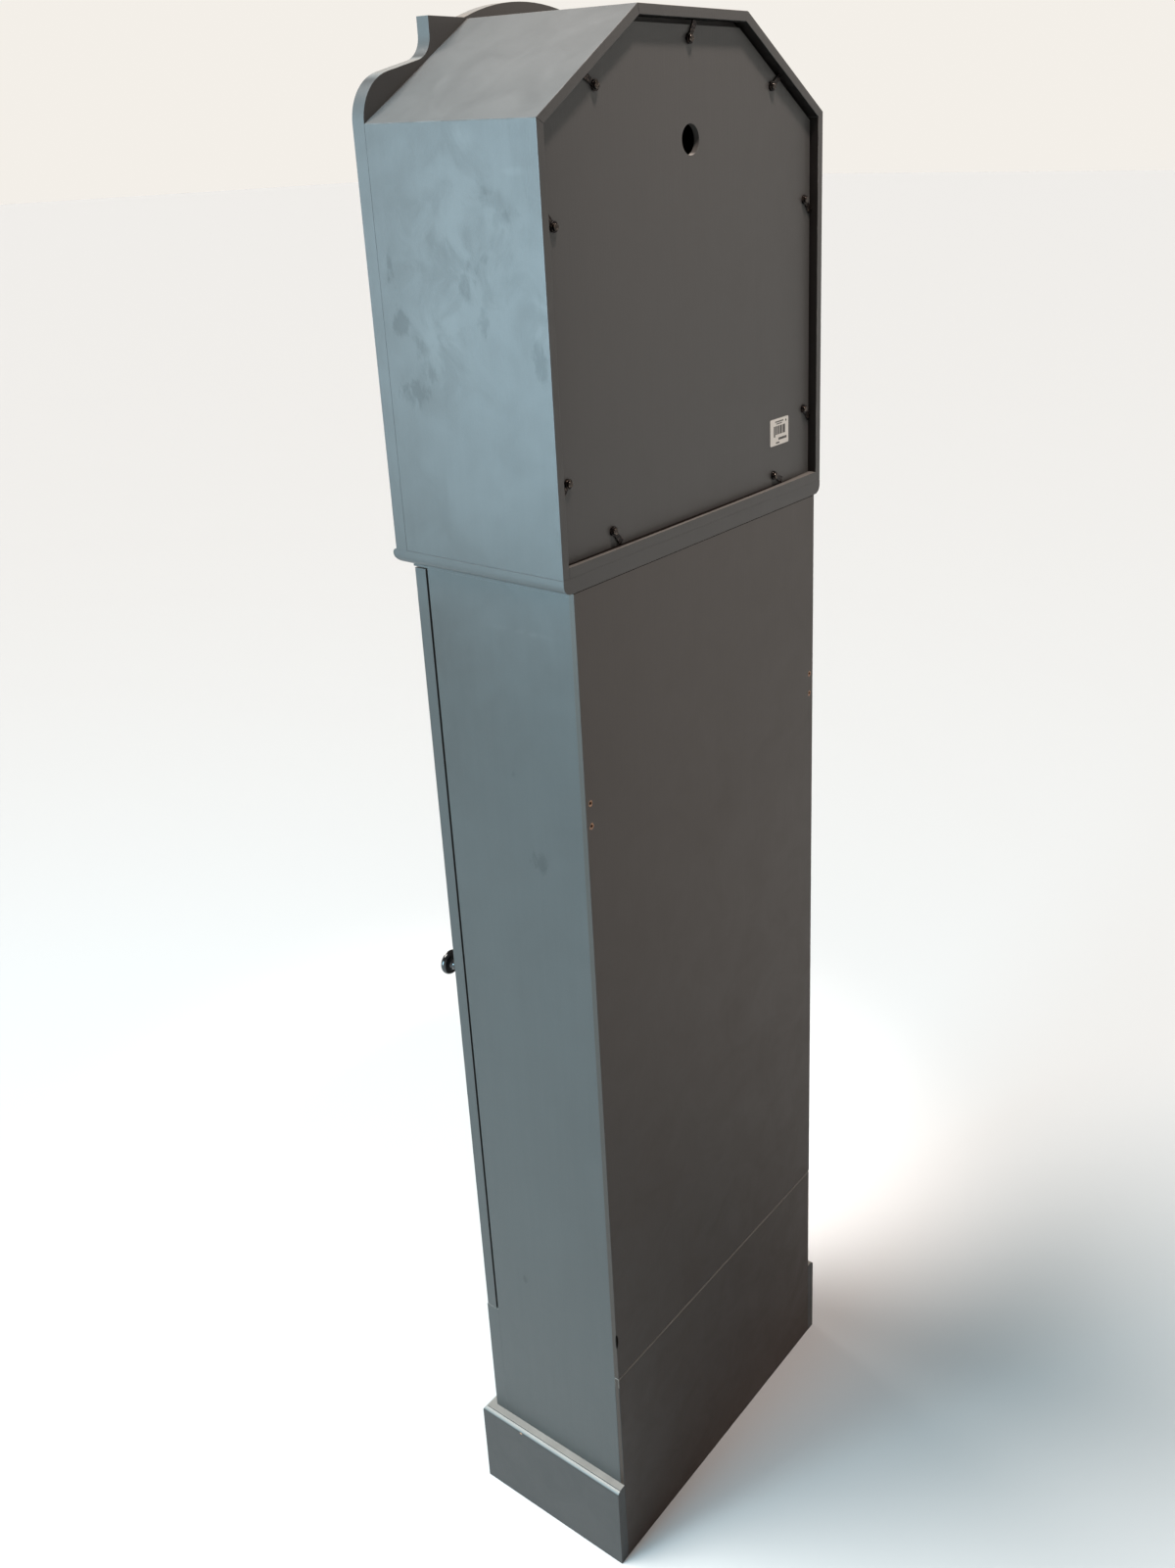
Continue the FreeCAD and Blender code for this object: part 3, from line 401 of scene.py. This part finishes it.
def brushed_paint(name, tone, rubs=(), scuffs=(), bare=(), gaps=(), rough=satin_rough, dust=dust_and_highlight_tone,
                  dust_and_highlight_from=slope_level, dark_round=None, swing=cloud_swing, foot=None, sheen=plain_sheen):
    """Satin paint brushed along Z, with dark rubs, pale scuffs, bare wood and painted shade in gaps where
    given.

    Faces that look towards dark_round, the middle of a case, have painted shade: the near black of an unlit
    inside.
    The paint goes over to the colour of foot on its way down to the floor: painted shade, darker and browner
    lower down.
    Faces that look up take the colour of dust: dust and a painted highlight of the light from above."""
    rough_swing = 0.04
    patch_swing = 0.05
    peel_depth = 0.00006
    bristle_depth = 0.00005
    g = Graph(name)
    clouds = g.noise(scale=6.0, detail=4.0, rough=0.6, warp=0.4)
    patches = g.noise(scale=19.0, detail=5.0, rough=0.62, warp=0.9)
    drift = coat_drift(g, clouds, patches)
    colour = g.swing(drift, tone, swing)
    # Down towards the floor the paint goes over to foot: painted shade, darker and browner lower down.
    if foot:
        down = g.span(g.axis("Z"), 0.0, painted_shade_height, to_low=1.0, to_high=0.0)
        colour = g.mix(down, colour, g.swing(drift, foot, swing))
    if rubs:
        colour = add_rubs(g, colour, tone, rubs)
    if scuffs:
        colour = add_scuffs(g, colour, tone, scuffs, patches)
    if bare:
        colour = add_bare_wood(g, colour, bare)
    # Faces that look up take the colour of dust: dust, and a painted highlight of the light from above.
    dust_and_highlight_share = g.join(g.upward(dust_and_highlight_from), g.vary(patches, to_low=0.75), "MULTIPLY")
    colour = g.mix(dust_and_highlight_share, colour, dust)
    shine = paint_shine
    # Gaps: painted shade, near black and without shine.
    if gaps:
        share = g.span(g.spots(gaps), low=0.2, high=0.4)
        colour = g.mix(share, colour, painted_shade_black)
        shine = g.span(share, 0.0, 1.0, to_low=paint_shine, to_high=0.0)
    # Faces that look inwards: painted shade, the near black of an unlit inside.
    if dark_round:
        colour = g.mix(g.inward(dark_round), colour, g.swing(clouds, painted_shade_black, black_swing))
    peel = g.noise(scale=750.0, detail=2.0)
    bristles = g.streaks((900.0, 900.0, 25.0), detail=2.0)
    patch_rough = g.vary(patches, -rough_swing, patch_swing)
    roughness = g.join(g.vary(clouds, rough - rough_swing, rough + rough_swing), patch_rough)
    g.set(base_color=colour, roughness=roughness, specular_ior_level=shine, specular_tint=rgba(sheen))
    g.bump((peel, peel_depth), (bristles, bristle_depth))
    return g.material


def worn_edge(name, tone, pale, dust=dust_and_highlight_tone, dust_and_highlight_from=slope_level, level=None):
    """Paint on an edge, rubbed paler along parts of its length; where a level is given, paler only at that
    level instead, as a painted highlight along a seam.
    """
    depth = 0.00005
    g = Graph(name)
    patches = g.noise(scale=45.0, detail=5.0, rough=0.7)
    share = g.span(patches, low=0.48, high=0.66)
    if level is not None:
        near = g.span(g.spot((0.0, 0.0, level), seam_radii), low=0.2, high=0.3)
        share = g.join(near, g.vary(patches, to_low=0.6), "MULTIPLY")
    colour = g.mix(share, tone, pale)
    # Faces that look up take the colour of dust: dust, and a painted highlight of the light from above.
    colour = g.mix(g.upward(dust_and_highlight_from), colour, dust)
    g.set(base_color=colour, roughness=g.vary(patches, 0.42, 0.55), specular_ior_level=paint_shine)
    g.bump((g.noise(scale=900.0, detail=2.0), depth))
    return g.material


def softwood(name, along):
    """Planed softwood with its grain along the given stretch, near black as painted shade."""
    grain_depth = 0.0001
    pore_depth = 0.00006
    pores_finer = 6.0
    g = Graph(name)
    grain = g.streaks(along, detail=5.0, rough=0.6, warp=0.6)
    pores = g.streaks([a * pores_finer for a in along], detail=2.0)
    late_wood = shade(shade_dark_wood, 0.68)
    early_wood = shade(shade_dark_wood, 1.2)
    pore = shade(shade_dark_wood, 0.45)
    colour = g.mix(g.span(grain, low=0.32, high=0.68), late_wood, early_wood)
    colour = g.mix(g.span(pores, low=0.55, high=0.75, to_high=0.35), colour, pore)
    g.set(base_color=colour, roughness=g.vary(grain, 0.6, 0.78))
    g.bump((grain, grain_depth), (pores, pore_depth))
    return g.material


def metal(name, bright, dark, rough):
    """A metal with brush marks and duller patches."""
    mark_height = 0.00002
    g = Graph(name)
    marks = g.streaks((160.0, 160.0, 1400.0), detail=3.0)
    tarnish = g.noise(scale=180.0, detail=4.0, rough=0.65, warp=0.5)
    colour = g.mix(g.span(tarnish, low=0.45, high=0.7, to_high=0.5), bright, dark)
    dulled = g.span(tarnish, low=0.45, high=0.7, to_high=0.12)
    roughness = g.join(g.vary(marks, rough - 0.06, rough + 0.08), dulled)
    g.set(base_color=colour, metallic=1.0, roughness=roughness)
    g.bump((marks, mark_height))
    return g.material


def bronzed(name, dark, worn, rough):
    """Dark bronze plating with worn, browner high spots."""
    pit_depth = 0.00003
    g = Graph(name)
    wear = g.noise(scale=420.0, detail=4.0, rough=0.65)
    colour = g.mix(g.span(wear, low=0.5, high=0.7), dark, worn)
    g.set(base_color=colour, metallic=0.9, roughness=g.vary(wear, rough - 0.06, rough + 0.12))
    g.bump((g.noise(scale=1600.0, detail=2.0), pit_depth))
    return g.material


def plastic(name, light, dark, rough, grain_depth):
    """Moulded plastic with a fine spark grain."""
    g = Graph(name)
    flow = g.noise(scale=60.0, detail=3.0)
    grain = g.noise(scale=2400.0, detail=2.0)
    g.set(base_color=g.mix(flow, dark, light), roughness=g.vary(flow, rough - 0.04, rough + 0.05))
    g.bump((grain, grain_depth))
    return g.material


def knob_gloss():
    """Black glaze with hairline rubs and a little orange peel."""
    glaze = (0.006, 0.006, 0.007)
    dusty = (0.020, 0.020, 0.020)
    peel_depth = 0.00004
    g = Graph("knob_gloss")
    hairs = g.streaks((300.0, 1500.0, 700.0), detail=4.0, rough=0.7, warp=1.0)
    dust = g.noise(scale=900.0, detail=3.0)
    rubbed = g.span(hairs, low=0.5, high=0.7, to_low=0.07, to_high=0.2)
    g.set(base_color=g.mix(g.span(dust, low=0.5, high=0.8), glaze, dusty), roughness=rubbed,
          coat_weight=0.4, coat_roughness=0.05)
    g.bump((g.noise(scale=260.0, detail=1.0), peel_depth))
    return g.material


def dial_enamel(low, high):
    """Cream enamel, a little darker towards the rim, with faint crazing and age spots."""
    cream = (0.76, 0.70, 0.56)
    yellowed = (cream[0] * 0.86, cream[1] * 0.80, cream[2] * 0.66)
    age_spot = (0.30, 0.22, 0.13)
    craze_depth = 0.00003
    reach = (high.x - low.x) * 0.8
    g = Graph("dial_enamel")
    clouds = g.noise(scale=22.0, detail=4.0, rough=0.6)
    middle = g.spot((low + high) / 2.0, (reach, reach, reach))
    colour = g.mix(g.span(middle, low=0.05, high=0.7), shade(cream, 0.86), cream)
    colour = g.mix(g.span(clouds, low=0.5, high=0.75, to_high=0.35), colour, yellowed)
    specks = g.noise(scale=1100.0, detail=1.0)
    colour = g.mix(g.span(specks, low=0.73, high=0.78, to_high=0.5), colour, age_spot)
    g.set(base_color=colour, roughness=g.vary(clouds, 0.3, 0.42))
    g.bump((g.noise(scale=300.0, detail=2.0), craze_depth))
    return g.material


def label_paper(low, high):
    """Paper with a block of plain upright bars, thin rules above and below it and a small dot."""
    shaded_paper = (0.40, 0.385, 0.355)
    clean_paper = (0.50, 0.48, 0.445)
    ink_black = (0.012, 0.011, 0.010)
    fibre_depth = 0.00003
    g = Graph("label_paper")
    x = g.span(g.axis("X"), low.x, high.x)
    z = g.span(g.axis("Z"), low.z, high.z)
    fibre = g.noise(scale=1500.0, detail=3.0)

    def between(value, start, end):
        up = g.span(value, start - bar_blur, start + bar_blur)
        down = g.span(value, end - bar_blur, end + bar_blur, to_low=1.0, to_high=0.0)
        return g.join(up, down, "MULTIPLY")

    def block(left, right, foot, top):
        return g.join(between(z, foot, top), between(x, left, right), "MULTIPLY")

    dashes = g.span(g.streaks((1400.0, 0.0, 0.0), detail=2.0), low=0.42, high=0.5, to_low=0.65)
    inks = [block(left, right, foot, bars_top) for left, right, foot in label_bars]
    for foot, top, left, right in label_rules:
        inks.append(g.join(block(left, right, foot, top), dashes, "MULTIPLY"))
    size = high - low
    dot_place = (low.x + size.x * dot_share[0], low.y, low.z + size.z * dot_share[1])
    inks.append(g.span(g.spot(dot_place, dot_radii), low=0.3, high=0.4))
    paper = g.mix(fibre, shaded_paper, clean_paper)
    g.set(base_color=g.mix(g.gather(inks, "MAXIMUM"), paper, ink_black), roughness=g.vary(fibre, 0.55, 0.7))
    g.bump((fibre, fibre_depth))
    return g.material


def battery_wrap(low, high):
    """A printed sleeve in two plain tones with bare metal at both ends."""
    dark_band = (0.05, 0.055, 0.06)
    pale_band = (0.38, 0.36, 0.33)
    rubbed = (0.5, 0.5, 0.5)
    bare_metal = (0.62, 0.62, 0.60)
    print_height = 0.00001
    g = Graph("battery_wrap")
    along = g.span(g.axis("X"), low.x, high.x)
    grain = g.noise(scale=500.0, detail=2.0)
    sleeve = g.mix(g.span(along, low=0.68, high=0.69), dark_band, pale_band)
    sleeve = g.mix(g.span(grain, low=0.4, high=0.7, to_high=0.2), sleeve, rubbed)
    first_end = g.span(along, low=0.02, high=0.022, to_low=1.0, to_high=0.0)
    ends = g.join(first_end, g.span(along, low=0.965, high=0.967), "MAXIMUM")
    g.set(base_color=g.mix(ends, sleeve, bare_metal), metallic=g.span(ends, 0.0, 1.0, to_high=0.9),
          roughness=g.vary(grain, 0.24, 0.34))
    g.bump((grain, print_height))
    return g.material


def clear_glass():
    """Thin clear glass with faint dust and smears."""
    dusty = (0.80, 0.84, 0.83)
    clean = (0.90, 0.90, 0.88)
    wave_depth = 0.00002
    g = Graph("clear_glass")
    dust = g.noise(scale=40.0, detail=5.0, rough=0.7, warp=0.5)
    smears = g.span(dust, low=0.4, high=0.75, to_low=0.02, to_high=0.09)
    colour = g.mix(g.span(dust, low=0.45, high=0.7), dusty, clean)
    g.set(base_color=colour, alpha=0.13, roughness=smears, ior=1.5)
    g.bump((g.noise(scale=9.0, detail=1.0), wave_depth))
    return g.material


def hand_black():
    """Thin black lacquer over sheet metal."""
    lacquer = (0.010, 0.010, 0.011)
    worn = (0.032, 0.030, 0.028)
    pit_depth = 0.00002
    g = Graph("hand_black")
    wear = g.noise(scale=350.0, detail=4.0, rough=0.65)
    colour = g.mix(g.span(wear, low=0.55, high=0.75), lacquer, worn)
    g.set(base_color=colour, roughness=g.vary(wear, 0.3, 0.45))
    g.bump((g.noise(scale=1300.0, detail=2.0), pit_depth))
    return g.material


def dress(names, material, edge=None, width=fitting_edge):
    """Gives nodes a material and small rounded edges, the edges in a material of their own where given."""
    for name in names.split():
        node = nodes[name]
        node.data.materials.clear()
        node.data.materials.append(material)
        if edge:
            node.data.materials.append(edge)
        weld = node.modifiers.new("weld", "WELD")
        weld.merge_threshold = weld_reach
        flats = node.modifiers.new("flats", "DECIMATE")
        flats.decimate_type = "DISSOLVE"
        flats.angle_limit = math.radians(flat_angle)
        bevel = node.modifiers.new("edges", "BEVEL")
        bevel.width = width
        bevel.segments = 2
        bevel.limit_method = "ANGLE"
        bevel.angle_limit = math.radians(sharp_angle)
        bevel.use_clamp_overlap = True
        bevel.material = 1 if edge else -1
        normals = node.modifiers.new("normals", "WEIGHTED_NORMAL")
        normals.weight = 100
        normals.keep_sharp = False


def stroke(foot, head, thickness):
    """The outline of one straight stroke with level ends, its foot and its head each at their own x."""
    half = thickness / 2.0
    top = numeral_height
    return [(foot - half, 0.0), (foot + half, 0.0), (head + half, top), (head - half, top)]


def serif(x, end, thickness):
    """A small bar across one end of a stroke, the foot or the head."""
    half = thickness / 2.0 + serif_reach
    low = 0.0 if end == "foot" else numeral_height - serif_height
    high = low + serif_height
    return [(x - half, low), (x + half, low), (x + half, high), (x - half, high)]


def letter(kind):
    """The outlines of one numeral letter that stands on z = 0 from x = 0, and its width."""
    thick = numeral_thick
    thin = numeral_thin
    width = thick if kind == "I" else letter_width
    left = thick / 2.0
    right = width - thin / 2.0
    strokes = {"I": [(left, left, thick)],
               "V": [(vee_foot, left, thick), (vee_foot, right, thin)],
               "X": [(right, left, thick), (left, right, thin)]}
    serifs = {"I": [(left, "foot", thick), (left, "head", thick)],
              "V": [(left, "head", thick), (right, "head", thin)],
              "X": [(right, "foot", thick), (left, "head", thick),
                    (left, "foot", thin), (right, "head", thin)]}
    return [stroke(*s) for s in strokes[kind]] + [serif(*s) for s in serifs[kind]], width


class DialInk:
    """Flat marks on the dial.

    The corners of a mark are pairs: a distance across it, and one outwards from the dial's centre."""

    def __init__(self):
        low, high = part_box("dial_plate")
        self.centre_z = (low.z + high.z) / 2.0
        self.face_y = low.y - dial_lift
        self.mesh = bmesh.new()

    def add(self, outline, angle=0.0, out=0.0, layer=0):
        """Adds one mark, turned round the dial by an angle and moved out. Higher layers lie in front."""
        c = math.cos(angle)
        s = math.sin(angle)
        y = self.face_y - layer * ink_layer
        corners = [(s * (b + out) + c * a, y, self.centre_z + c * (b + out) - s * a) for a, b in outline]
        self.mesh.faces.new([self.mesh.verts.new(corner) for corner in corners])

    def add_ring(self, radius):
        inner = radius - track_line / 2.0
        outer = radius + track_line / 2.0
        for step in range(track_steps):
            start = 2.0 * math.pi * step / track_steps
            end = 2.0 * math.pi * (step + 1) / track_steps
            rims = [(inner, start), (outer, start), (outer, end), (inner, end)]
            self.add([(r * math.sin(t), r * math.cos(t)) for r, t in rims])

    def add_ticks(self):
        for minute in range(minutes_round):
            half = (minute_tick if minute % minutes_per_hour else hour_tick) / 2.0
            outline = [(-half, track_inner), (half, track_inner), (half, track_outer), (-half, track_outer)]
            self.add(outline, 2.0 * math.pi * minute / minutes_round)

    def add_numeral(self, text, angle):
        letters = [letter(kind) for kind in text]
        x = -(sum(width for _, width in letters) + letter_gap * (len(letters) - 1)) / 2.0
        for outlines, width in letters:
            for layer, outline in enumerate(outlines):
                self.add([(x + a, b) for a, b in outline], angle, numeral_outer - numeral_height, layer)
            x += width + letter_gap

    def finish(self, name):
        bmesh.ops.recalc_face_normals(self.mesh, faces=self.mesh.faces[:])
        data = bpy.data.meshes.new(name)
        self.mesh.to_mesh(data)
        self.mesh.free()
        return data


def make_dial_marks(material):
    """The minute track and twelve upright-footed numerals, printed a hair above the dial plate."""
    ink = DialInk()
    ink.add_ring(track_outer)
    ink.add_ring(track_inner)
    ink.add_ticks()
    for hour, text in enumerate(numerals):
        ink.add_numeral(text, 2.0 * math.pi * hour / len(numerals))
    marks = bpy.data.objects.new("dial_marks", ink.finish("dial_marks"))
    scene.collection.objects.link(marks)
    marks.data.materials.append(material)
    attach(marks, "cabinet")
    solid = marks.modifiers.new("ink", "SOLIDIFY")
    solid.thickness = ink_thickness
    solid.offset = 0.0


def aim(thing, place, target):
    thing.location = place
    thing.rotation_euler = (Vector(target) - Vector(place)).to_track_quat("-Z", "Y").to_euler()


def add_light(name, kind, place, target, size, power, colour, cone=None):
    """A far sun, a square panel or a soft spot with a cone, which the camera doesn't see."""
    data = bpy.data.lights.new(name, kind)
    data.energy = power
    data.color = colour
    if kind == "AREA":
        data.shape = "SQUARE"
        data.size = size
    elif kind == "SUN":
        data.angle = math.radians(size)
    else:
        data.shadow_soft_size = size
        data.spot_size = math.radians(cone)
        data.spot_blend = 1.0
    light = bpy.data.objects.new(name, data)
    scene.collection.objects.link(light)
    light.visible_camera = False
    aim(light, place, target)


def make_camera():
    data = bpy.data.cameras.new("camera")
    data.lens = camera_lens
    data.sensor_width = camera_sensor
    data.shift_x, data.shift_y = camera_shift
    camera = bpy.data.objects.new("camera", data)
    scene.collection.objects.link(camera)
    camera.location = camera_place
    camera.rotation_euler = [math.radians(a) for a in camera_turn]
    scene.camera = camera


def make_floor():
    g = Graph("floor_paper")
    g.set(base_color=rgba(floor_tone), roughness=floor_rough, specular_ior_level=floor_shine)
    data = bpy.data.meshes.new("floor")
    h = floor_half
    data.from_pydata([(-h, -h, 0.0), (h, -h, 0.0), (h, h, 0.0), (-h, h, 0.0)], [], [(0, 1, 2, 3)])
    floor = bpy.data.objects.new("floor", data)
    floor.data.materials.append(g.material)
    scene.collection.objects.link(floor)


def make_room():
    world = bpy.data.worlds.new("room")
    world.use_nodes = True
    tree = world.node_tree
    background = tree.nodes["Background"]
    background.inputs["Color"].default_value = rgba(room_colour)
    split = tree.nodes.new("ShaderNodeSeparateXYZ")
    tree.links.new(tree.nodes.new("ShaderNodeTexCoord").outputs["Generated"], split.inputs[0])
    fade = tree.nodes.new("ShaderNodeMapRange")
    fade.interpolation_type = "SMOOTHSTEP"
    tree.links.new(split.outputs["Z"], fade.inputs["Value"])
    fade.inputs["From Min"].default_value = horizon_top
    fade.inputs["From Max"].default_value = horizon_end
    fade.inputs["To Min"].default_value = horizon_strength
    fade.inputs["To Max"].default_value = room_strength
    tree.links.new(fade.outputs["Result"], background.inputs["Strength"])
    scene.world = world
    scene.view_settings.view_transform = "Standard"


def on_side(node_name, marks):
    """Marks on the outer face of a right-hand side, as pairs of a centre and its radii."""
    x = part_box(node_name)[1].x
    return [((x, y, z), (mark_depth, y_radius, z_radius)) for y, z, y_radius, z_radius in marks]


def dress_hood(edge):
    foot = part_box("hood_side_right")[0]
    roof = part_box("hood_top")[1]
    middle = (0.0, 0.0, (foot.z + roof.z) / 2.0)
    sound_edge = worn_edge("paint_sound_edge", paint_tone, shade(paint_tone, sound_shade))
    # The hood boards' inner faces take painted shade, near black, by dark_round.
    hood = brushed_paint("hood_paint", paint_tone, dark_round=middle)
    side = brushed_paint("hood_side_paint", paint_tone, on_side("hood_side_right", hood_rubs),
                         on_side("hood_side_right", hood_scuffs), dark_round=middle, swing=side_swing)
    dress("hood_side_right", side, sound_edge, board_edge)
    dress("hood_side_left hood_slope_right hood_slope_left hood_top", hood, edge, board_edge)


def dress_plain_boards(edge):
    paint = brushed_paint("cabinet_paint", paint_tone)
    dress("pediment_board hood_back_panel trunk_top_board lower_front_panel door", paint, edge, board_edge)


def dress_base_board_and_rail():
    pale = shade(paint_tone, swept_shade)
    # The base board and rail take a weaker tone of dust and painted highlight on their upward faces.
    swept = brushed_paint("base_board_paint", paint_tone, dust=rail_dust_and_highlight)
    swept_edge = worn_edge("base_board_worn_edge", paint_tone, pale, dust=rail_dust_and_highlight)
    dress("hood_base_board", swept, swept_edge, joint_edge)
    # Along the rail's top beside the foot of the hood's back panel: a line of painted shade, near black.
    foot_of_panel = (rail_middle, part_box("hood_back_panel")[1].y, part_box("hood_rear_rail")[1].z)
    rail = brushed_paint("rail_paint", paint_tone, gaps=[(foot_of_panel, rail_radii)], dust=rail_dust_and_highlight)
    dress("hood_rear_rail", rail, swept_edge, joint_edge)


def dress_trunk(edge):
    side_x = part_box("trunk_side_right")[1].x
    back_y = cad_box[1][1]
    side = brushed_paint("trunk_side_paint", paint_tone, on_side("trunk_side_right", trunk_rubs),
                         on_side("trunk_side_right", trunk_scuffs), swing=side_swing)
    dress("trunk_side_right trunk_side_left", side, edge, board_edge)
    # The back panels' edges: darker as painted shade in the joints, and pale at the seam as a painted
    # highlight where light catches it.
    seam_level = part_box("back_panel_lower")[1].z
    seam_edge = worn_edge("seam_edge", shade(paint_tone, seam_shade), seam_highlight, level=seam_level)
    holes = [((x, back_y, z), hole_radii) for x in (hole_x, -hole_x) for z in hole_levels]
    joint_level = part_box("hood_base_board")[0].z
    # A dark mark at the rear corner and a line under the base board: painted shade, near black.
    painted_shade_spots = [((side_x, back_y, corner_level), corner_radii), ((0.0, back_y, joint_level), joint_radii)]
    # The trunk's back goes darker and browner towards the floor as painted shade, with its reflections
    # tinted brown too.
    upper = brushed_paint("upper_panel_paint", paint_tone, bare=holes, gaps=painted_shade_spots, foot=painted_shade_foot,
                          sheen=brown_sheen)
    lower = brushed_paint("lower_panel_paint", paint_tone, foot=painted_shade_foot, sheen=brown_sheen)
    dress("back_panel_upper", upper, seam_edge, board_edge)
    dress("back_panel_lower", lower, seam_edge, board_edge)
    inner = brushed_paint("inner_paint", paint_inner, rough=inner_rough)
    dress("trunk_floor_board shelf_upper shelf_lower", inner, width=board_edge)


def dress_plinth():
    nick_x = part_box("trunk_side_right")[1].x + nick_out
    nicks = [((nick_x, nick_y, nick_level), nick_radii)]
    # The plinth's paint is darker as painted shade near the floor; its ledges take dust and a painted
    # highlight of the light from above.
    plinth = brushed_paint("plinth_paint", paint_plinth_shaded, bare=nicks, dust=ledge_dust_and_highlight, dust_and_highlight_from=nose_level)
    edge = worn_edge("plinth_worn_edge", paint_plinth_shaded, paint_worn, dust=ledge_dust_and_highlight, dust_and_highlight_from=nose_level)
    dress("skirting_front skirting_right skirting_left", plinth, edge, board_edge)


def dress_cleats():
    # The cleats are near black as painted shade, so that the gaps round the hood's back panel read dark.
    upright = softwood("softwood_upright", along=(grain_across, grain_across, grain_along))
    level = softwood("softwood_level", along=(grain_along, grain_across, grain_across))
    dress("cleat_right cleat_left", upright, width=board_edge)
    dress("cleat_slope_right cleat_slope_left cleat_top", level, width=board_edge)


def dress_clips_and_label():
    steel = bronzed("bronzed_steel", dark=(0.012, 0.010, 0.010), worn=(0.10, 0.075, 0.06), rough=0.25)
    screw = bronzed("bronzed_screw", dark=(0.030, 0.025, 0.022), worn=(0.20, 0.16, 0.13), rough=0.2)
    clips = " ".join(name for name in nodes if name.startswith("turn_clip"))
    dress(clips, steel, width=clip_edge)
    dress("clip_screws", screw, width=clip_edge)
    dress("blank_label", label_paper(*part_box("blank_label")), width=label_edge)


def dress_fittings():
    zinc = metal("plated_steel", bright=(0.62, 0.61, 0.57), dark=(0.33, 0.32, 0.30), rough=0.34)
    brass = metal("hinge_brass", bright=(0.66, 0.47, 0.20), dark=(0.30, 0.19, 0.08), rough=0.32)
    catch = plastic("catch_plastic", light=(0.66, 0.64, 0.58), dark=(0.52, 0.49, 0.43), rough=0.42,
                    grain_depth=0.00002)
    dress("hood_fixing_screws dial_screws knob_screw hinge_screws_door hinge_screws_case", zinc)
    dress("shelf_pins catch_plate", zinc)
    dress("hinge_leaves_door hinge_leaves_case", brass)
    dress("door_knob", knob_gloss())
    dress("magnetic_catch", catch)


def dress_clock():
    brass = metal("bezel_brass", bright=(0.78, 0.56, 0.24), dark=(0.42, 0.27, 0.11), rough=0.2)
    black = hand_black()
    case = plastic("movement_plastic", light=(0.030, 0.030, 0.032), dark=(0.014, 0.014, 0.015), rough=0.5,
                   grain_depth=0.00004)
    dress("dial_plate", dial_enamel(*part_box("dial_plate")))
    dress("dial_bezel movement_nut hand_nut minute_shaft", brass)
    dress("dial_glass", clear_glass())
    dress("hour_hand minute_hand", black, width=hand_edge)
    dress("movement_case setting_knob", case)
    dress("battery", battery_wrap(*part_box("battery")))
    make_dial_marks(black)


make_camera()
make_floor()
make_room()
for name, light in lights.items():
    add_light(name, **light)
cabinet_edge = worn_edge("paint_worn_edge", paint_tone, paint_worn)
dress_hood(cabinet_edge)
dress_plain_boards(cabinet_edge)
dress_base_board_and_rail()
dress_trunk(cabinet_edge)
dress_plinth()
dress_cleats()
dress_clips_and_label()
dress_fittings()
dress_clock()
